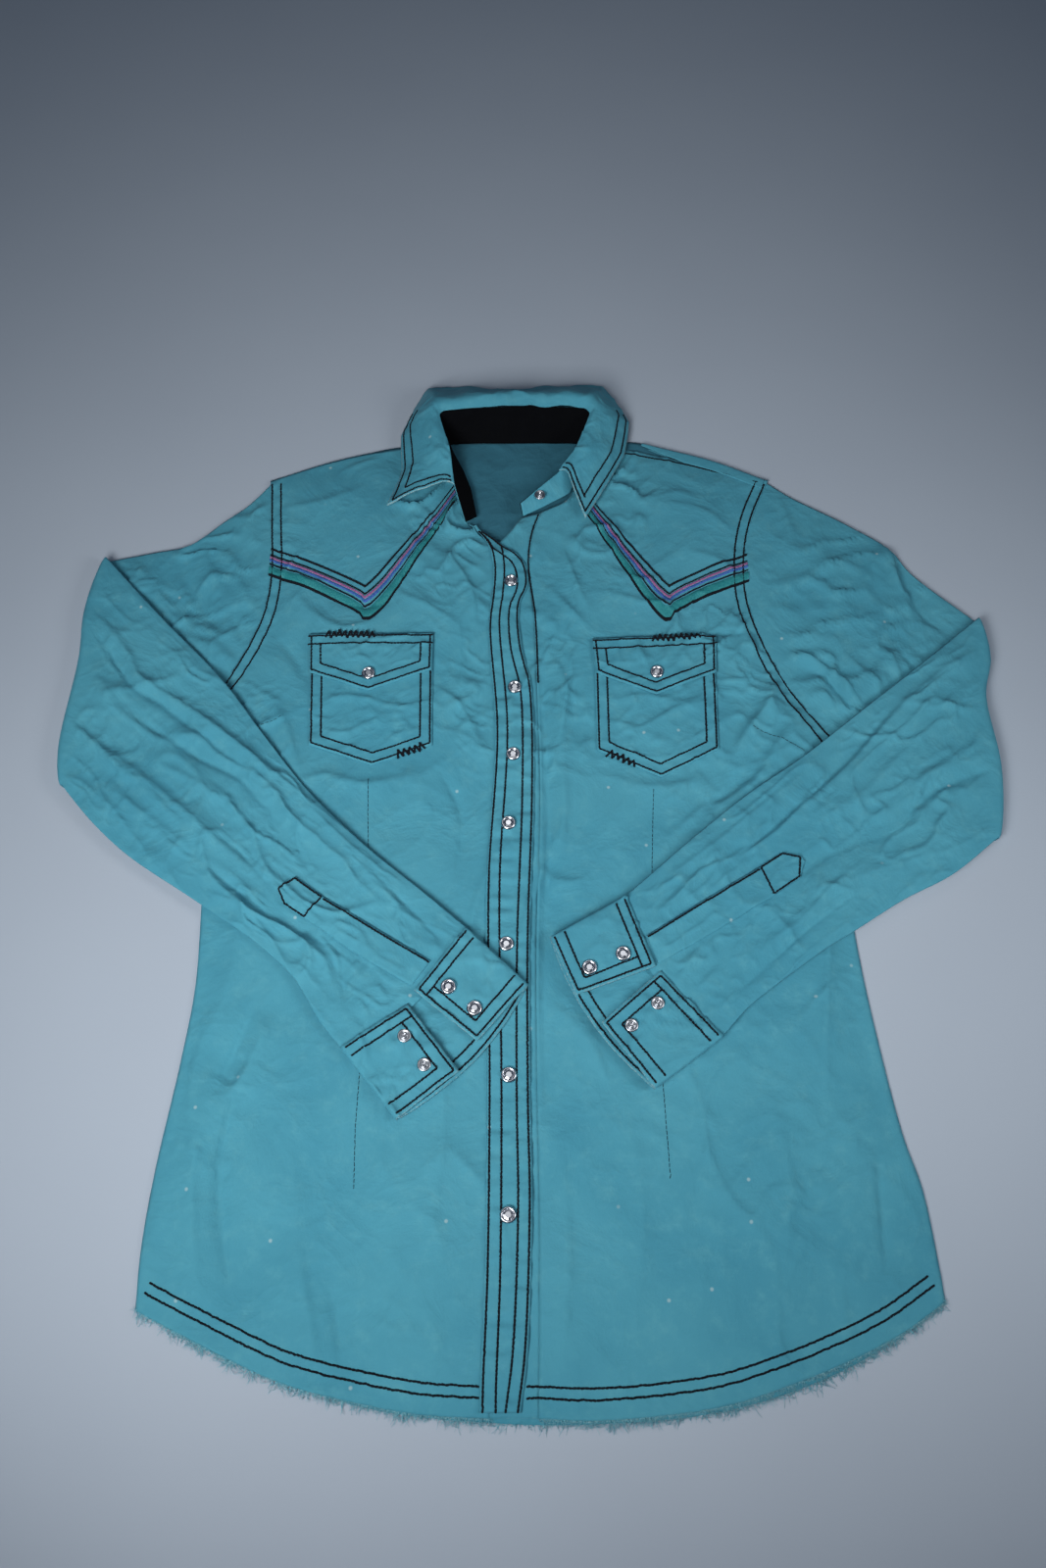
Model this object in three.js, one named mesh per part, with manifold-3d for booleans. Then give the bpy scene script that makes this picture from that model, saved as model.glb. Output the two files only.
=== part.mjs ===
// A western snap shirt with long sleeves, lying flat on its back with both forearms folded over
// its front. Millimetres, +Z up; the origin is the middle of its footprint, on the surface it
// lies on. +X is the viewer's right, +Y runs from the hem to the collar. "Left" and "right" are
// the viewer's. Each piece of cloth is a wall of its own, a seam's gap away from its neighbours.
import * as THREE from 'three';
import { mergeVertices } from 'three/addons/utils/BufferGeometryUtils.js';
import Module from 'manifold-3d';

// ---- driving sizes ----
const CLOTH = 1.0; // one layer of cloth, with its crease and loft
const SEAM = 0.3; // gap between two pieces at a seam
const LAYER = 1.5; // rise from a panel to what is sewn on top of it
const REST = 2.4; // top of a front where it is sewn to the back
const PUFF = 2.6; // how much higher a front lies away from its edges
const EDGE_REACH = 30; // how far in from an edge a front has risen
const YOKE_SEAM_Y = 236; // where the back joins the back yoke
const BEYOND = 500; // past every edge of the shirt
const YOKE_WRAP = 9; // how far the yoke comes forward over the right shoulder
const FOLD_RADIUS = 5.6; // outside of the elbow fold, from its axis
const SLEEVE_LOFT = 4.6; // height of a flattened sleeve, both walls
const CUFF_CLOTH = 1.4; // a cuff is two layers and a stiffener
const CUFF_LOW = 8.0; // middle of the cuff's under layer
const CUFF_HIGH = 12.2; // middle of its two ends, which lie on top
const CUFF_BOW = 9; // how far its under layer bows towards the rim
const COLLAR_CLOTH = 1.2;
const CENTRE = { x: 4.01, y: 3.09 }; // middle of the footprint in the tables below

const COLOURS = { turquoise: 0x45a3b8, black: 0x0b0c10, chrome: 0xd9dbdd, steel: 0xa9adb2 };

// ---- outlines, in plan ----
const LEFT_SIDE = [ // shoulder, armhole, underarm, waist, hem
  [-202, 291], [-198, 242], [-195, 206], [-197, 171], [-206, 140], [-219, 111], [-231, 90],
  [-228, 40], [-222, -20], [-218, -80], [-217, -120], [-221, -168], [-229, -234], [-232, -280],
  [-231, -317],
];
const RIGHT_SIDE = [
  [190, 291], [174, 252], [167, 220], [166, 180], [175, 142], [193, 100], [213, 70], [224, 54],
  [222, 0], [217, -60], [219, -102], [224, -150], [233, -213], [241, -246], [245, -290],
  [246, -312],
];
const LEFT_HEM = [
  [-231, -317], [-207, -329], [-174, -344], [-141, -357], [-93, -369], [-61, -374], [-22, -376],
];
const UNDER_HEM = [[-21.6, -376], [6, -376.5]];
const RIGHT_HEM = [
  [6.4, -376.5], [38, -377], [81, -374], [115, -369], [150, -359], [186, -345], [217, -331],
  [246, -312],
];
const BACK_HEM = [
  [-231, -317], [-174, -344], [-93, -369], [-22, -377], [38, -378], [115, -371], [186, -348],
  [246, -312],
];
const LEFT_TOP = [ // shoulder, then neckline down to the front edge
  [-202, 291], [-150, 311], [-103, 322], [-74, 325], [-62, 305], [-55, 276], [-46, 250], [-24, 226],
];
const UNDER_TOP = [[-23.6, 226], [-9, 246], [-4, 254], [11, 259]];
const RIGHT_TOP = [
  [11.4, 259], [32, 272], [42, 298], [54, 322], [83, 320], [103, 315], [189, 289],
];
const BACK_TOP = [
  [-202, 291], [-150, 312], [-103, 324], [-74, 327], [-63, 329], [-10, 330], [42, 331], [58, 330],
  [89, 329], [148, 310], [190, 291],
];
const FRONT_EDGE = [ // where the left front ends, under the placket
  [-24, 226], [-20, 208], [-21, 178], [-23, 154], [-17, 65], [-22, -47], [-20, -179],
  [-20, -294], [-22, -357], [-22, -376],
];
const UNDER_EDGE = [ // where the under placket is sewn to the right front
  [11, 259], [5, 240], [2, 208], [5, 165], [7, 107], [9, 12], [6, -85], [6, -192], [7, -257],
  [6, -376.5],
];
const PLACKET_LEFT = [
  [-45, 248], [-32, 232], [-26, 208], [-27, 178], [-29, 154], [-23, 65], [-28, -47], [-26, -179],
  [-26, -294], [-28, -357], [-28, -371],
];
const PLACKET_RIGHT = [
  [-43, 247], [-17, 226], [-3, 214], [1, 193], [-5, 174], [-4, 140], [3, 107], [5, 78], [5, 12],
  [2, -85], [2, -192], [3, -257], [0, -337], [-4, -371],
];
const POCKETS = { // top left, top right, low right, point, low left
  left: {
    bag: [[-160, 144], [-69, 145], [-67, 56], [-109, 40], [-155, 56]],
    flap: [[-161, 147], [-69, 148], [-69, 117], [-115, 99], [-159, 115]],
    snap: [-115, 113],
  },
  right: {
    bag: [[49, 140], [138, 144], [136, 53], [94, 31], [49, 52]],
    flap: [[48, 143], [139, 147], [138, 115], [93, 96], [50, 114]],
    snap: [94, 114],
  },
};
const PLACKET_SNAPS = [[-12, 194], [-9, 102], [-10, 48], [-13, -5], [-14, -91], [-12, -177], [-12, -261]];

const SLEEVES = {
  left: {
    outward: -1,
    armhole: LEFT_SIDE.slice(0, 7),
    crown: [[-202, 291], [-220, 266], [-236, 251], [-260, 229], [-286, 222], [-319, 214]],
    underarm: [[-231, 90], [-324, 24]],
    fold: [[-319, 214], [-324, 165], [-322, 127], [-326, 56], [-324, 24]],
    upper: [
      [-319, 214], [-271, 161], [-219, 106], [-186, 62], [-151, 18], [-108, -24], [-74, -52], [-41, -80],
    ],
    lower: [
      [-324, 24], [-299, -4], [-271, -29], [-221, -62], [-177, -92], [-151, -116], [-134, -142], [-119, -160],
    ],
    seam: [[-41, -80], [-57, -103], [-75, -128], [-96, -146], [-119, -160]],
    // corners of the cuff's ends: at the fold and at the free end, by the seam and by the rim
    cap: { foldSeam: [-41, -81], foldRim: [0, -120], endRim: [-32, -157], endSeam: [-73, -124] },
    stud: { foldSeam: [-118, -160], foldRim: [-81, -205], endRim: [-43, -176], endSeam: [-77, -133] },
    caps: [[-51, -122], [-34, -136]],
    studs: [[-78, -154], [-65, -172]],
    // tip, head, head's end, then the strip down to the cuff; and the same along the other edge
    tower: {
      near: [[-167, -54], [-156, -45], [-135, -60], [-99, -82], [-63, -104]],
      far: [[-167, -57], [-162, -65], [-147, -75], [-112, -99], [-75, -121]],
    },
  },
  right: {
    outward: 1,
    armhole: RIGHT_SIDE.slice(0, 8),
    crown: [[190, 291], [209, 275], [248, 249], [279, 225], [292, 203], [334, 160]],
    underarm: [[224, 54], [321, -16]],
    fold: [[334, 160], [333, 125], [325, 96], [327, 41], [321, -16]],
    upper: [[334, 160], [287, 121], [240, 83], [193, 45], [156, 19], [118, -12], [66, -58]],
    lower: [
      [321, -16], [286, -43], [251, -61], [217, -82], [194, -96], [163, -118], [143, -133], [124, -153],
    ],
    seam: [[66, -58], [76, -82], [85, -110], [104, -130], [124, -153]],
    cap: { foldSeam: [66, -59], foldRim: [15, -88], endRim: [31, -127], endSeam: [83, -108] },
    stud: { foldSeam: [124, -153], foldRim: [79, -186], endRim: [47, -145], endSeam: [86, -111] },
    caps: [[40, -109], [62, -100]],
    studs: [[66, -147], [83, -133]],
    tower: {
      near: [[185, -31], [172, -28], [155, -39], [116, -63], [78, -87]],
      far: [[187, -34], [183, -46], [163, -60], [125, -83], [85, -106]],
    },
  },
};

// The collar, from its left end round the back of the neck to its right end: where the stand is
// sewn on, its top, the crest of the leaf and the leaf's outer edge.
const COLLAR = [
  { base: [-41, 256, 6.4], top: [-47, 246, 15] },
  { base: [-47, 282, 6.4], top: [-52, 283, 20], crest: [-60, 282, 20], edge: [-108, 262, 7.2] },
  { base: [-55, 305, 6.2], top: [-60, 306, 23], crest: [-69, 306, 25], edge: [-97, 292, 7.2] },
  { base: [-66, 325, 4.4], top: [-73, 336, 23], crest: [-80, 342, 26], edge: [-101, 334, 6] },
  { base: [-46, 330, 2.6], top: [-54, 349, 23], crest: [-58, 359, 27], edge: [-74, 379, 4] },
  { base: [-10, 331, 2.6], top: [-10, 351, 23], crest: [-10, 361, 27], edge: [-10, 384, 3] },
  { base: [28, 331, 2.6], top: [35, 351, 23], crest: [38, 361, 27], edge: [60, 383, 4] },
  { base: [49, 327, 4.4], top: [56, 338, 23], crest: [62, 344, 26], edge: [83, 340, 6] },
  { base: [43, 302, 6.2], top: [37, 305, 21], crest: [45, 306, 24], edge: [72, 300, 7.2] },
  { base: [33, 277, 6.4], top: [24, 285, 16], crest: [29, 285, 18], edge: [45, 250, 7.2] },
  { base: [4, 260, 6.4], top: [0, 270, 13] },
];

// ---- solids ----
const wasm = await Module();
wasm.setup();

const mixed = (a, b, t) => a.map((value, k) => value + (b[k] - value) * t);

/** A smooth line through plan points, by its share of the length. */
function smooth(points) {
  const knots = points.map(([x, y]) => new THREE.Vector3(x, y, 0));
  const curve = new THREE.CatmullRomCurve3(knots, false, 'centripetal');
  return (t) => curve.getPointAt(Math.min(1, Math.max(0, t))).toArray().slice(0, 2);
}

/** A line with corners, whose points are evenly spaced in t. */
function cornered(points) {
  return (t) => {
    const at = Math.min(t * (points.length - 1), points.length - 1 - 1e-9);
    const i = Math.floor(at);
    return mixed(points[i], points[i + 1], at - i);
  };
}

/** The patch that four edges hold: u runs along top and bottom, v down left and right. */
function coons({ top, bottom, left, right }) {
  return (u, v) => [0, 1].map((k) => {
    const rows = top(u)[k] * (1 - v) + bottom(u)[k] * v;
    const sides = left(v)[k] * (1 - u) + right(v)[k] * u;
    const upperCorners = top(0)[k] * (1 - u) + top(1)[k] * u;
    const lowerCorners = bottom(0)[k] * (1 - u) + bottom(1)[k] * u;
    return rows + sides - upperCorners * (1 - v) - lowerCorners * v;
  });
}

/** The value that a table of [value, at] gives for at. */
function reading(table, at) {
  const rows = [...table].sort((a, b) => a[1] - b[1]);
  if (at <= rows[0][1]) return rows[0][0];
  for (let i = 1; i < rows.length; i++) {
    if (at <= rows[i][1]) {
      const share = (at - rows[i - 1][1]) / (rows[i][1] - rows[i - 1][1]);
      return rows[i - 1][0] + (rows[i][0] - rows[i - 1][0]) * share;
    }
  }
  return rows[rows.length - 1][0];
}
const flipped = (points) => points.map(([x, y]) => [y, x]);

/** How high the top of the fronts lies over the surface. */
function frontTop(x, y) {
  const inside = Math.min(
    x - reading(LEFT_SIDE, y),
    reading(RIGHT_SIDE, y) - x,
    y - reading(flipped([...LEFT_HEM, ...RIGHT_HEM]), x),
    Math.abs(x) > 50 ? 325 - 0.18 * Math.max(0, Math.abs(x) - 80) - y : EDGE_REACH,
  );
  return REST + PUFF * THREE.MathUtils.smoothstep(inside, 0, EDGE_REACH);
}

/** A closed body between two grids of points that have the same rows and columns. */
function between(outer, inner, ring = false) {
  const rows = outer.length;
  const columns = outer[0].length;
  const across = ring ? columns : columns - 1;
  const points = [...outer.flat(), ...inner.flat()];
  const at = (side, i, j) => side * rows * columns + i * columns + (j % columns);
  const faces = [];
  const quad = (a, b, c, d) => faces.push([a, b, c], [a, c, d]);
  for (let j = 0; j < across; j++) {
    for (let i = 0; i < rows - 1; i++) {
      quad(at(0, i, j), at(0, i + 1, j), at(0, i + 1, j + 1), at(0, i, j + 1));
      quad(at(1, i, j), at(1, i, j + 1), at(1, i + 1, j + 1), at(1, i + 1, j));
    }
    quad(at(0, 0, j), at(0, 0, j + 1), at(1, 0, j + 1), at(1, 0, j));
    quad(at(0, rows - 1, j + 1), at(0, rows - 1, j), at(1, rows - 1, j), at(1, rows - 1, j + 1));
  }
  for (let i = 0; i < rows - 1 && !ring; i++) {
    quad(at(0, i + 1, 0), at(0, i, 0), at(1, i, 0), at(1, i + 1, 0));
    quad(at(0, i, across), at(0, i + 1, across), at(1, i + 1, across), at(1, i, across));
  }
  const [a, b, c] = [new THREE.Vector3(), new THREE.Vector3(), new THREE.Vector3()];
  const volume = faces.reduce((sum, [i, j, k]) => {
    a.fromArray(points[i]);
    b.fromArray(points[j]);
    c.fromArray(points[k]);
    return sum + a.dot(b.cross(c));
  }, 0);
  const geometry = new THREE.BufferGeometry();
  geometry.setAttribute('position', new THREE.Float32BufferAttribute(points.flat(), 3));
  geometry.setIndex((volume < 0 ? faces.map(([i, j, k]) => [i, k, j]) : faces).flat());
  return geometry;
}

/** A flat-lying wall over a plan patch: height(x, y) is its top. */
function panel(patch, across, down, height, thickness = CLOTH) {
  const grid = (drop) => Array.from({ length: down + 1 }, (_, i) =>
    Array.from({ length: across + 1 }, (_, j) => {
      const [x, y] = patch(j / across, i / down);
      return [x, y, height(x, y) - drop];
    }));
  return between(grid(0), grid(thickness));
}

/** A wall of even thickness about a grid of points in space. */
function shell(grid, thickness) {
  const rows = grid.length;
  const columns = grid[0].length;
  const step = (a, b) => new THREE.Vector3().fromArray(b).sub(new THREE.Vector3().fromArray(a));
  const moved = (side) => grid.map((row, i) => row.map((point, j) => {
    const down = step(grid[Math.max(0, i - 1)][j], grid[Math.min(rows - 1, i + 1)][j]);
    const over = step(row[Math.max(0, j - 1)], row[Math.min(columns - 1, j + 1)]);
    const normal = down.cross(over).normalize().multiplyScalar((side * thickness) / 2);
    return new THREE.Vector3().fromArray(point).add(normal).toArray();
  }));
  return between(moved(1), moved(-1));
}

function toManifold(geometry) {
  const bare = geometry.clone();
  bare.deleteAttribute('normal');
  bare.deleteAttribute('uv');
  const merged = mergeVertices(bare, 1e-4);
  return new wasm.Manifold(new wasm.Mesh({
    numProp: 3,
    vertProperties: new Float32Array(merged.attributes.position.array),
    triVerts: new Uint32Array(merged.index.array),
  }));
}

function fromManifold(body) {
  const mesh = body.getMesh();
  const geometry = new THREE.BufferGeometry();
  geometry.setAttribute('position', new THREE.Float32BufferAttribute(mesh.vertProperties, 3));
  geometry.setIndex([...mesh.triVerts]);
  return geometry;
}

/** An upright prism over a plan polygon. */
function prism(polygon, low, high) {
  const shape = new THREE.Shape(polygon.map(([x, y]) => new THREE.Vector2(x, y)));
  return new THREE.ExtrudeGeometry(shape, { depth: high - low, bevelEnabled: false }).translate(0, 0, low);
}

/** A plan polygon, anticlockwise, grown by a margin. */
function grown(polygon, margin) {
  const last = polygon.length;
  return polygon.map(([x, y], i) => {
    const [ax, ay] = polygon[(i + last - 1) % last];
    const [bx, by] = polygon[(i + 1) % last];
    const length = Math.hypot(bx - ax, by - ay);
    return [x + ((by - ay) / length) * margin, y - ((bx - ax) / length) * margin];
  });
}

// ---- the pieces ----
const shirt = new THREE.Group();
shirt.position.set(-CENTRE.x, -CENTRE.y, 0);

function add(name, geometry, colour, metalness = 0) {
  const roughness = metalness ? 0.22 : 0.85;
  const material = new THREE.MeshStandardMaterial({ color: COLOURS[colour], roughness, metalness });
  const mesh = new THREE.Mesh(geometry, material);
  mesh.name = name;
  shirt.add(mesh);
}

const ROWS = 26; // rows of facets down the body
const leftSide = smooth(LEFT_SIDE);
const rightSide = smooth(RIGHT_SIDE);

/** The plan of the whole body as the panels' facets have it, for cutting the sleeves. */
function bodyPlan() {
  const steps = Array.from({ length: ROWS + 1 }, (_, i) => i / ROWS);
  const shoulders = steps.slice(1, -1).map(smooth(BACK_TOP));
  return [...steps.map(leftSide), ...steps.map(rightSide).reverse(), ...shoulders.reverse()];
}

function addBody() {
  const whole = toManifold(panel(
    coons({ top: smooth(BACK_TOP), bottom: smooth(BACK_HEM), left: leftSide, right: rightSide }),
    18, ROWS, () => CLOTH,
  ));
  // The yoke's seam parts the back's pattern: each side of it is kept by a block wider than the shirt.
  const strip = (low, high) => toManifold(prism(
    [[-BEYOND, low], [BEYOND, low], [BEYOND, high], [-BEYOND, high]], -FOLD_RADIUS, FOLD_RADIUS,
  ));
  const below = strip(-BEYOND, YOKE_SEAM_Y);
  const above = strip(YOKE_SEAM_Y + SEAM, BEYOND);
  add('back', fromManifold(whole.intersect(below)), 'turquoise');

  // The yoke's edge rolls over the right shoulder and lies on the front for YOKE_WRAP.
  const roll = (REST - CLOTH) / 2;
  const middle = CLOTH / 2;
  const shoulder = smooth([[92, 327], [148, 309], [187, 291]]);
  const rolled = (wrap, thickness) => {
    const profile = [
      [8, middle], [0, middle], [-roll * 0.86, middle + roll / 2], [-roll, middle + roll],
      [-roll * 0.86, middle + roll * 1.5], [0, middle + roll * 2], [wrap, middle + roll * 2],
    ];
    return toManifold(shell(Array.from({ length: 7 }, (_, i) => {
      const [x, y] = shoulder(i / 6);
      const narrowed = Math.min(1, 0.25 + i / 3);
      return profile.map(([inward, z]) => {
        const reach = inward > 0 && z > CLOTH ? inward * narrowed : inward;
        return [x - reach * 0.34, y - reach * 0.94, z];
      });
    }), thickness));
  };
  const yoke = whole.intersect(above).add(rolled(YOKE_WRAP, CLOTH));
  add('back_yoke', fromManifold(yoke), 'turquoise');

  add('front_left', panel(
    coons({ top: smooth(LEFT_TOP), bottom: smooth(LEFT_HEM), left: leftSide, right: smooth(FRONT_EDGE) }),
    10, ROWS, frontTop,
  ), 'turquoise');
  const inward = ([x, y]) => [x + 0.4, y];
  add('under_placket', panel(
    coons({
      top: smooth(UNDER_TOP), bottom: smooth(UNDER_HEM), left: smooth(FRONT_EDGE.map(inward)),
      right: smooth(UNDER_EDGE),
    }),
    3, ROWS, frontTop,
  ), 'turquoise');
  const frontRight = toManifold(panel(
    coons({
      top: smooth(RIGHT_TOP), bottom: smooth(RIGHT_HEM), left: smooth(UNDER_EDGE.map(inward)),
      right: rightSide,
    }),
    10, ROWS, frontTop,
  ));
  const clear = rolled(YOKE_WRAP + SEAM, CLOTH + 2 * SEAM);
  add('front_right', fromManifold(frontRight.subtract(clear)), 'turquoise');
  add('placket', panel(
    coons({
      top: cornered([PLACKET_LEFT[0], PLACKET_RIGHT[0]]),
      bottom: cornered([PLACKET_LEFT.at(-1), PLACKET_RIGHT.at(-1)]),
      left: smooth(PLACKET_LEFT), right: smooth(PLACKET_RIGHT),
    }),
    2, ROWS, (x, y) => frontTop(x, y) + LAYER,
  ), 'turquoise');
}

/** A pocket bag or flap: a five-cornered patch a number of layers above the front. */
function fivePointed([topLeft, topRight, lowRight, point, lowLeft], layers) {
  const patch = coons({
    top: cornered([topLeft, mixed(topLeft, topRight, 0.5), topRight]),
    bottom: cornered([lowLeft, point, lowRight]),
    left: cornered([topLeft, lowLeft]),
    right: cornered([topRight, lowRight]),
  });
  return panel(patch, 4, 3, (x, y) => frontTop(x, y) + LAYER * layers);
}

/** A snap's cap: a domed rim round a flat middle. */
function snapCap(radius = 5.25, height = 2.2) {
  const profile = [
    [0, 0], [radius - 0.6, 0], [radius, 0.5], [radius - 0.2, 1.3], [radius - 0.9, height],
    [radius - 1.5, height - 0.25], [radius - 1.9, height - 0.5], [0, height - 0.3],
  ];
  return new THREE.LatheGeometry(profile.map(([r, z]) => new THREE.Vector2(r, z)), 20).rotateX(Math.PI / 2);
}

/** The ring and nub of a snap's stud. */
function snapStud(radius = 4.4) {
  const profile = [
    [0, 0], [radius, 0], [radius, 0.7], [radius - 0.7, 1.1], [radius - 1.7, 0.7], [1.9, 0.7],
    [1.8, 2.2], [1.1, 2.7], [0, 2.7],
  ];
  return new THREE.LatheGeometry(profile.map(([r, z]) => new THREE.Vector2(r, z)), 20).rotateX(Math.PI / 2);
}

function addSnap(name, [x, y], z, geometry, colour) {
  add(name, geometry.translate(x, y, z), colour, 1);
}

function addPockets() {
  for (const [side, { bag, flap, snap }] of Object.entries(POCKETS)) {
    add(`pocket_${side}`, fivePointed(bag, 1), 'turquoise');
    add(`pocket_flap_${side}`, fivePointed(flap, 2), 'turquoise');
    addSnap(`pocket_snap_${side}`, snap, frontTop(...snap) + LAYER * 2 + SEAM, snapCap(), 'chrome');
  }
}

/**
 * One sleeve: a flattened tube from the armhole out to the elbow, folded there and brought back
 * over itself to the cuff. A ring is a list of [v, depth]: v runs from the sleeve's upper edge to
 * its lower edge, and depth is measured in from the wall that is outermost at the fold.
 */
function sleeveRing(loft, wall) {
  const inner = wall > 0;
  const vs = [0.03, 0.2, 0.4, 0.6, 0.8, 0.97];
  const low = vs.map((v) => [v, wall]);
  const high = vs.map((v) => [v, loft - wall]).reverse();
  const tuck = inner ? 0.012 : 0;
  return [[tuck, loft / 2], ...low, [1 - tuck, loft / 2], ...high];
}

function sleeve({ outward, armhole, crown, underarm, fold, upper, lower, seam }) {
  const foldLine = smooth(fold);
  const upperArm = coons({
    top: smooth(crown), bottom: smooth(underarm), left: smooth(armhole.map(([x, y]) => [x - 3 * outward, y])),
    right: foldLine,
  });
  const foreArm = coons({ top: smooth(upper), bottom: smooth(lower), left: foldLine, right: smooth(seam) });
  const rings = [];
  for (const u of [0, 0.12, 0.3, 0.55, 0.8, 1]) {
    const loft = REST + (SLEEVE_LOFT - REST) * Math.min(1, u / 0.3);
    rings.push({ loft, place: (v, depth) => [...upperArm(u, v), depth] });
  }
  for (const angle of [36, 72, 108, 144]) {
    const turn = THREE.MathUtils.degToRad(angle);
    rings.push({
      loft: SLEEVE_LOFT,
      place: (v, depth) => {
        const [x, y] = foldLine(v);
        const radius = FOLD_RADIUS - depth;
        return [x + outward * radius * Math.sin(turn), y, FOLD_RADIUS - radius * Math.cos(turn)];
      },
    });
  }
  for (const u of [0, 0.14, 0.28, 0.42, 0.56, 0.7, 0.85, 0.99]) {
    rings.push({
      loft: SLEEVE_LOFT,
      place: (v, depth) => [...foreArm(u, v), 2 * FOLD_RADIUS - depth + 0.4 * u],
    });
  }
  const loops = (wall) => rings.map(({ loft, place }) =>
    sleeveRing(loft, wall).map(([v, depth]) => place(v, depth)));
  return between(loops(0), loops(CLOTH), true);
}

/** A cuff: a band from its cap end, under the wrist and up to its stud end. */
function cuff({ cap, stud }) {
  const section = (end) => {
    const capFold = cap[`fold${end}`];
    const studFold = stud[`fold${end}`];
    const half = (CUFF_HIGH - CUFF_LOW) / 2;
    const reach = half / Math.hypot(studFold[0] - capFold[0], studFold[1] - capFold[1]);
    const bow = ([x, y], share) => {
      const [dx, dy] = [cap.foldRim[0] - cap.foldSeam[0], cap.foldRim[1] - cap.foldSeam[1]];
      const out = (CUFF_BOW * 4 * share * (1 - share)) / Math.hypot(dx, dy);
      return [x + dx * out, y + dy * out];
    };
    const round = (share, z) => [...bow(mixed(capFold, studFold, share), share), z];
    return [
      [...mixed(cap[`end${end}`], capFold, 0.02), CUFF_HIGH],
      [...mixed(cap[`end${end}`], capFold, 0.5), CUFF_HIGH],
      round(reach, CUFF_HIGH), round(reach * 0.3, CUFF_HIGH - half * 0.3), round(0, CUFF_LOW + half),
      round(reach * 0.3, CUFF_LOW + half * 0.3), round(reach, CUFF_LOW), round(0.25, CUFF_LOW),
      round(0.5, CUFF_LOW), round(0.75, CUFF_LOW), round(1 - reach, CUFF_LOW),
      round(1 - reach * 0.3, CUFF_LOW + half * 0.3),
      round(1, CUFF_LOW + half), round(1 - reach * 0.3, CUFF_HIGH - half * 0.3), round(1 - reach, CUFF_HIGH),
      [...mixed(stud[`end${end}`], studFold, 0.5), CUFF_HIGH],
      [...mixed(stud[`end${end}`], studFold, 0.02), CUFF_HIGH],
    ];
  };
  const seam = section('Seam');
  const rim = section('Rim');
  const across = (share) => seam.map((point, k) => mixed(point, rim[k], share));
  return shell([0.035, 0.5, 1].map(across), CUFF_CLOTH);
}

function addSleeves() {
  const body = toManifold(prism(grown(bodyPlan(), SEAM * 1.2), -5, SLEEVE_LOFT + 1));
  for (const [side, sizes] of Object.entries(SLEEVES)) {
    add(`sleeve_${side}`, fromManifold(toManifold(sleeve(sizes)).subtract(body)), 'turquoise');
    add(`cuff_${side}`, cuff(sizes), 'turquoise');
    const { near, far } = sizes.tower;
    const strip = coons({
      top: cornered([near[0], far[0]]), bottom: cornered([near.at(-1), far.at(-1)]),
      left: cornered(near), right: cornered(far),
    });
    add(`sleeve_placket_${side}`, panel(strip, 2, 8, () => 2 * FOLD_RADIUS + 0.4 + LAYER), 'turquoise');
    const onCuff = CUFF_HIGH + CUFF_CLOTH / 2 + SEAM;
    sizes.caps.forEach((at, i) => addSnap(`cuff_cap_${side}_${i + 1}`, at, onCuff, snapCap(), 'chrome'));
    sizes.studs.forEach((at, i) => addSnap(`cuff_stud_${side}_${i + 1}`, at, onCuff, snapStud(), 'steel'));
  }
}

function addCollar() {
  const stand = [0, 0.5, 1].map((share) => COLLAR.map(({ base, top }) => mixed(base, top, share)));
  add('collar_stand', shell(stand, COLLAR_CLOTH), 'black');
  const stations = COLLAR.filter(({ edge }) => edge);
  const lift = ([x, y, z]) => [x, y, z + COLLAR_CLOTH];
  const leaf = [
    stations.map(({ top }) => lift(top)),
    stations.map(({ crest }) => lift(crest)),
    stations.map(({ crest, edge }) => {
      const [x, y, z] = mixed(crest, edge, 0.5);
      return [x, y, z + 4];
    }),
    stations.map(({ edge }) => edge),
  ];
  add('collar_leaf', shell(leaf, COLLAR_CLOTH), 'turquoise');
  addSnap('collar_stud', [10, 268], 13.6, snapStud(), 'steel');
}

addBody();
addPockets();
PLACKET_SNAPS.forEach((at, i) =>
  addSnap(`placket_snap_${i + 1}`, at, frontTop(...at) + LAYER + SEAM, snapCap(), 'chrome'));
addSleeves();
addCollar();

export default shirt;
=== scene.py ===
"""A western snap shirt in turquoise cotton, lying flat on a pale table with its forearms folded
over its front. Outlines are in millimetres on the table, +X to the viewer's right and +Y towards
the collar; row() takes them to the frame's metres."""
import math
from collections import namedtuple

import bmesh
import bpy
import numpy as np
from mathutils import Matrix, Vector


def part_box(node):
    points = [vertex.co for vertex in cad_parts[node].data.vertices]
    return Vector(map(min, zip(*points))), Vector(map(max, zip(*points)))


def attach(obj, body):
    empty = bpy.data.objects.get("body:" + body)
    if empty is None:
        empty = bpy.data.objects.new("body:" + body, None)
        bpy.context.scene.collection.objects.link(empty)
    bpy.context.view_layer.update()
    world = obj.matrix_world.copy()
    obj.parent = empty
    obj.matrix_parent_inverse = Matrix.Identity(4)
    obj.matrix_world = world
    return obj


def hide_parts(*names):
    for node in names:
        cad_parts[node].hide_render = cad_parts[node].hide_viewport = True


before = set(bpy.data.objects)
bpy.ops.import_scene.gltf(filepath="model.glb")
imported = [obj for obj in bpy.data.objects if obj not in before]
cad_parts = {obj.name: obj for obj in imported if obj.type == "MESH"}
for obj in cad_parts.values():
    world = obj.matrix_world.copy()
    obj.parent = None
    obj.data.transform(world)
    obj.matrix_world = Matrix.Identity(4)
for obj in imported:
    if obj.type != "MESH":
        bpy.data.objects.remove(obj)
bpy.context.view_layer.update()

BODY = "root"
MM = 0.001

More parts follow.
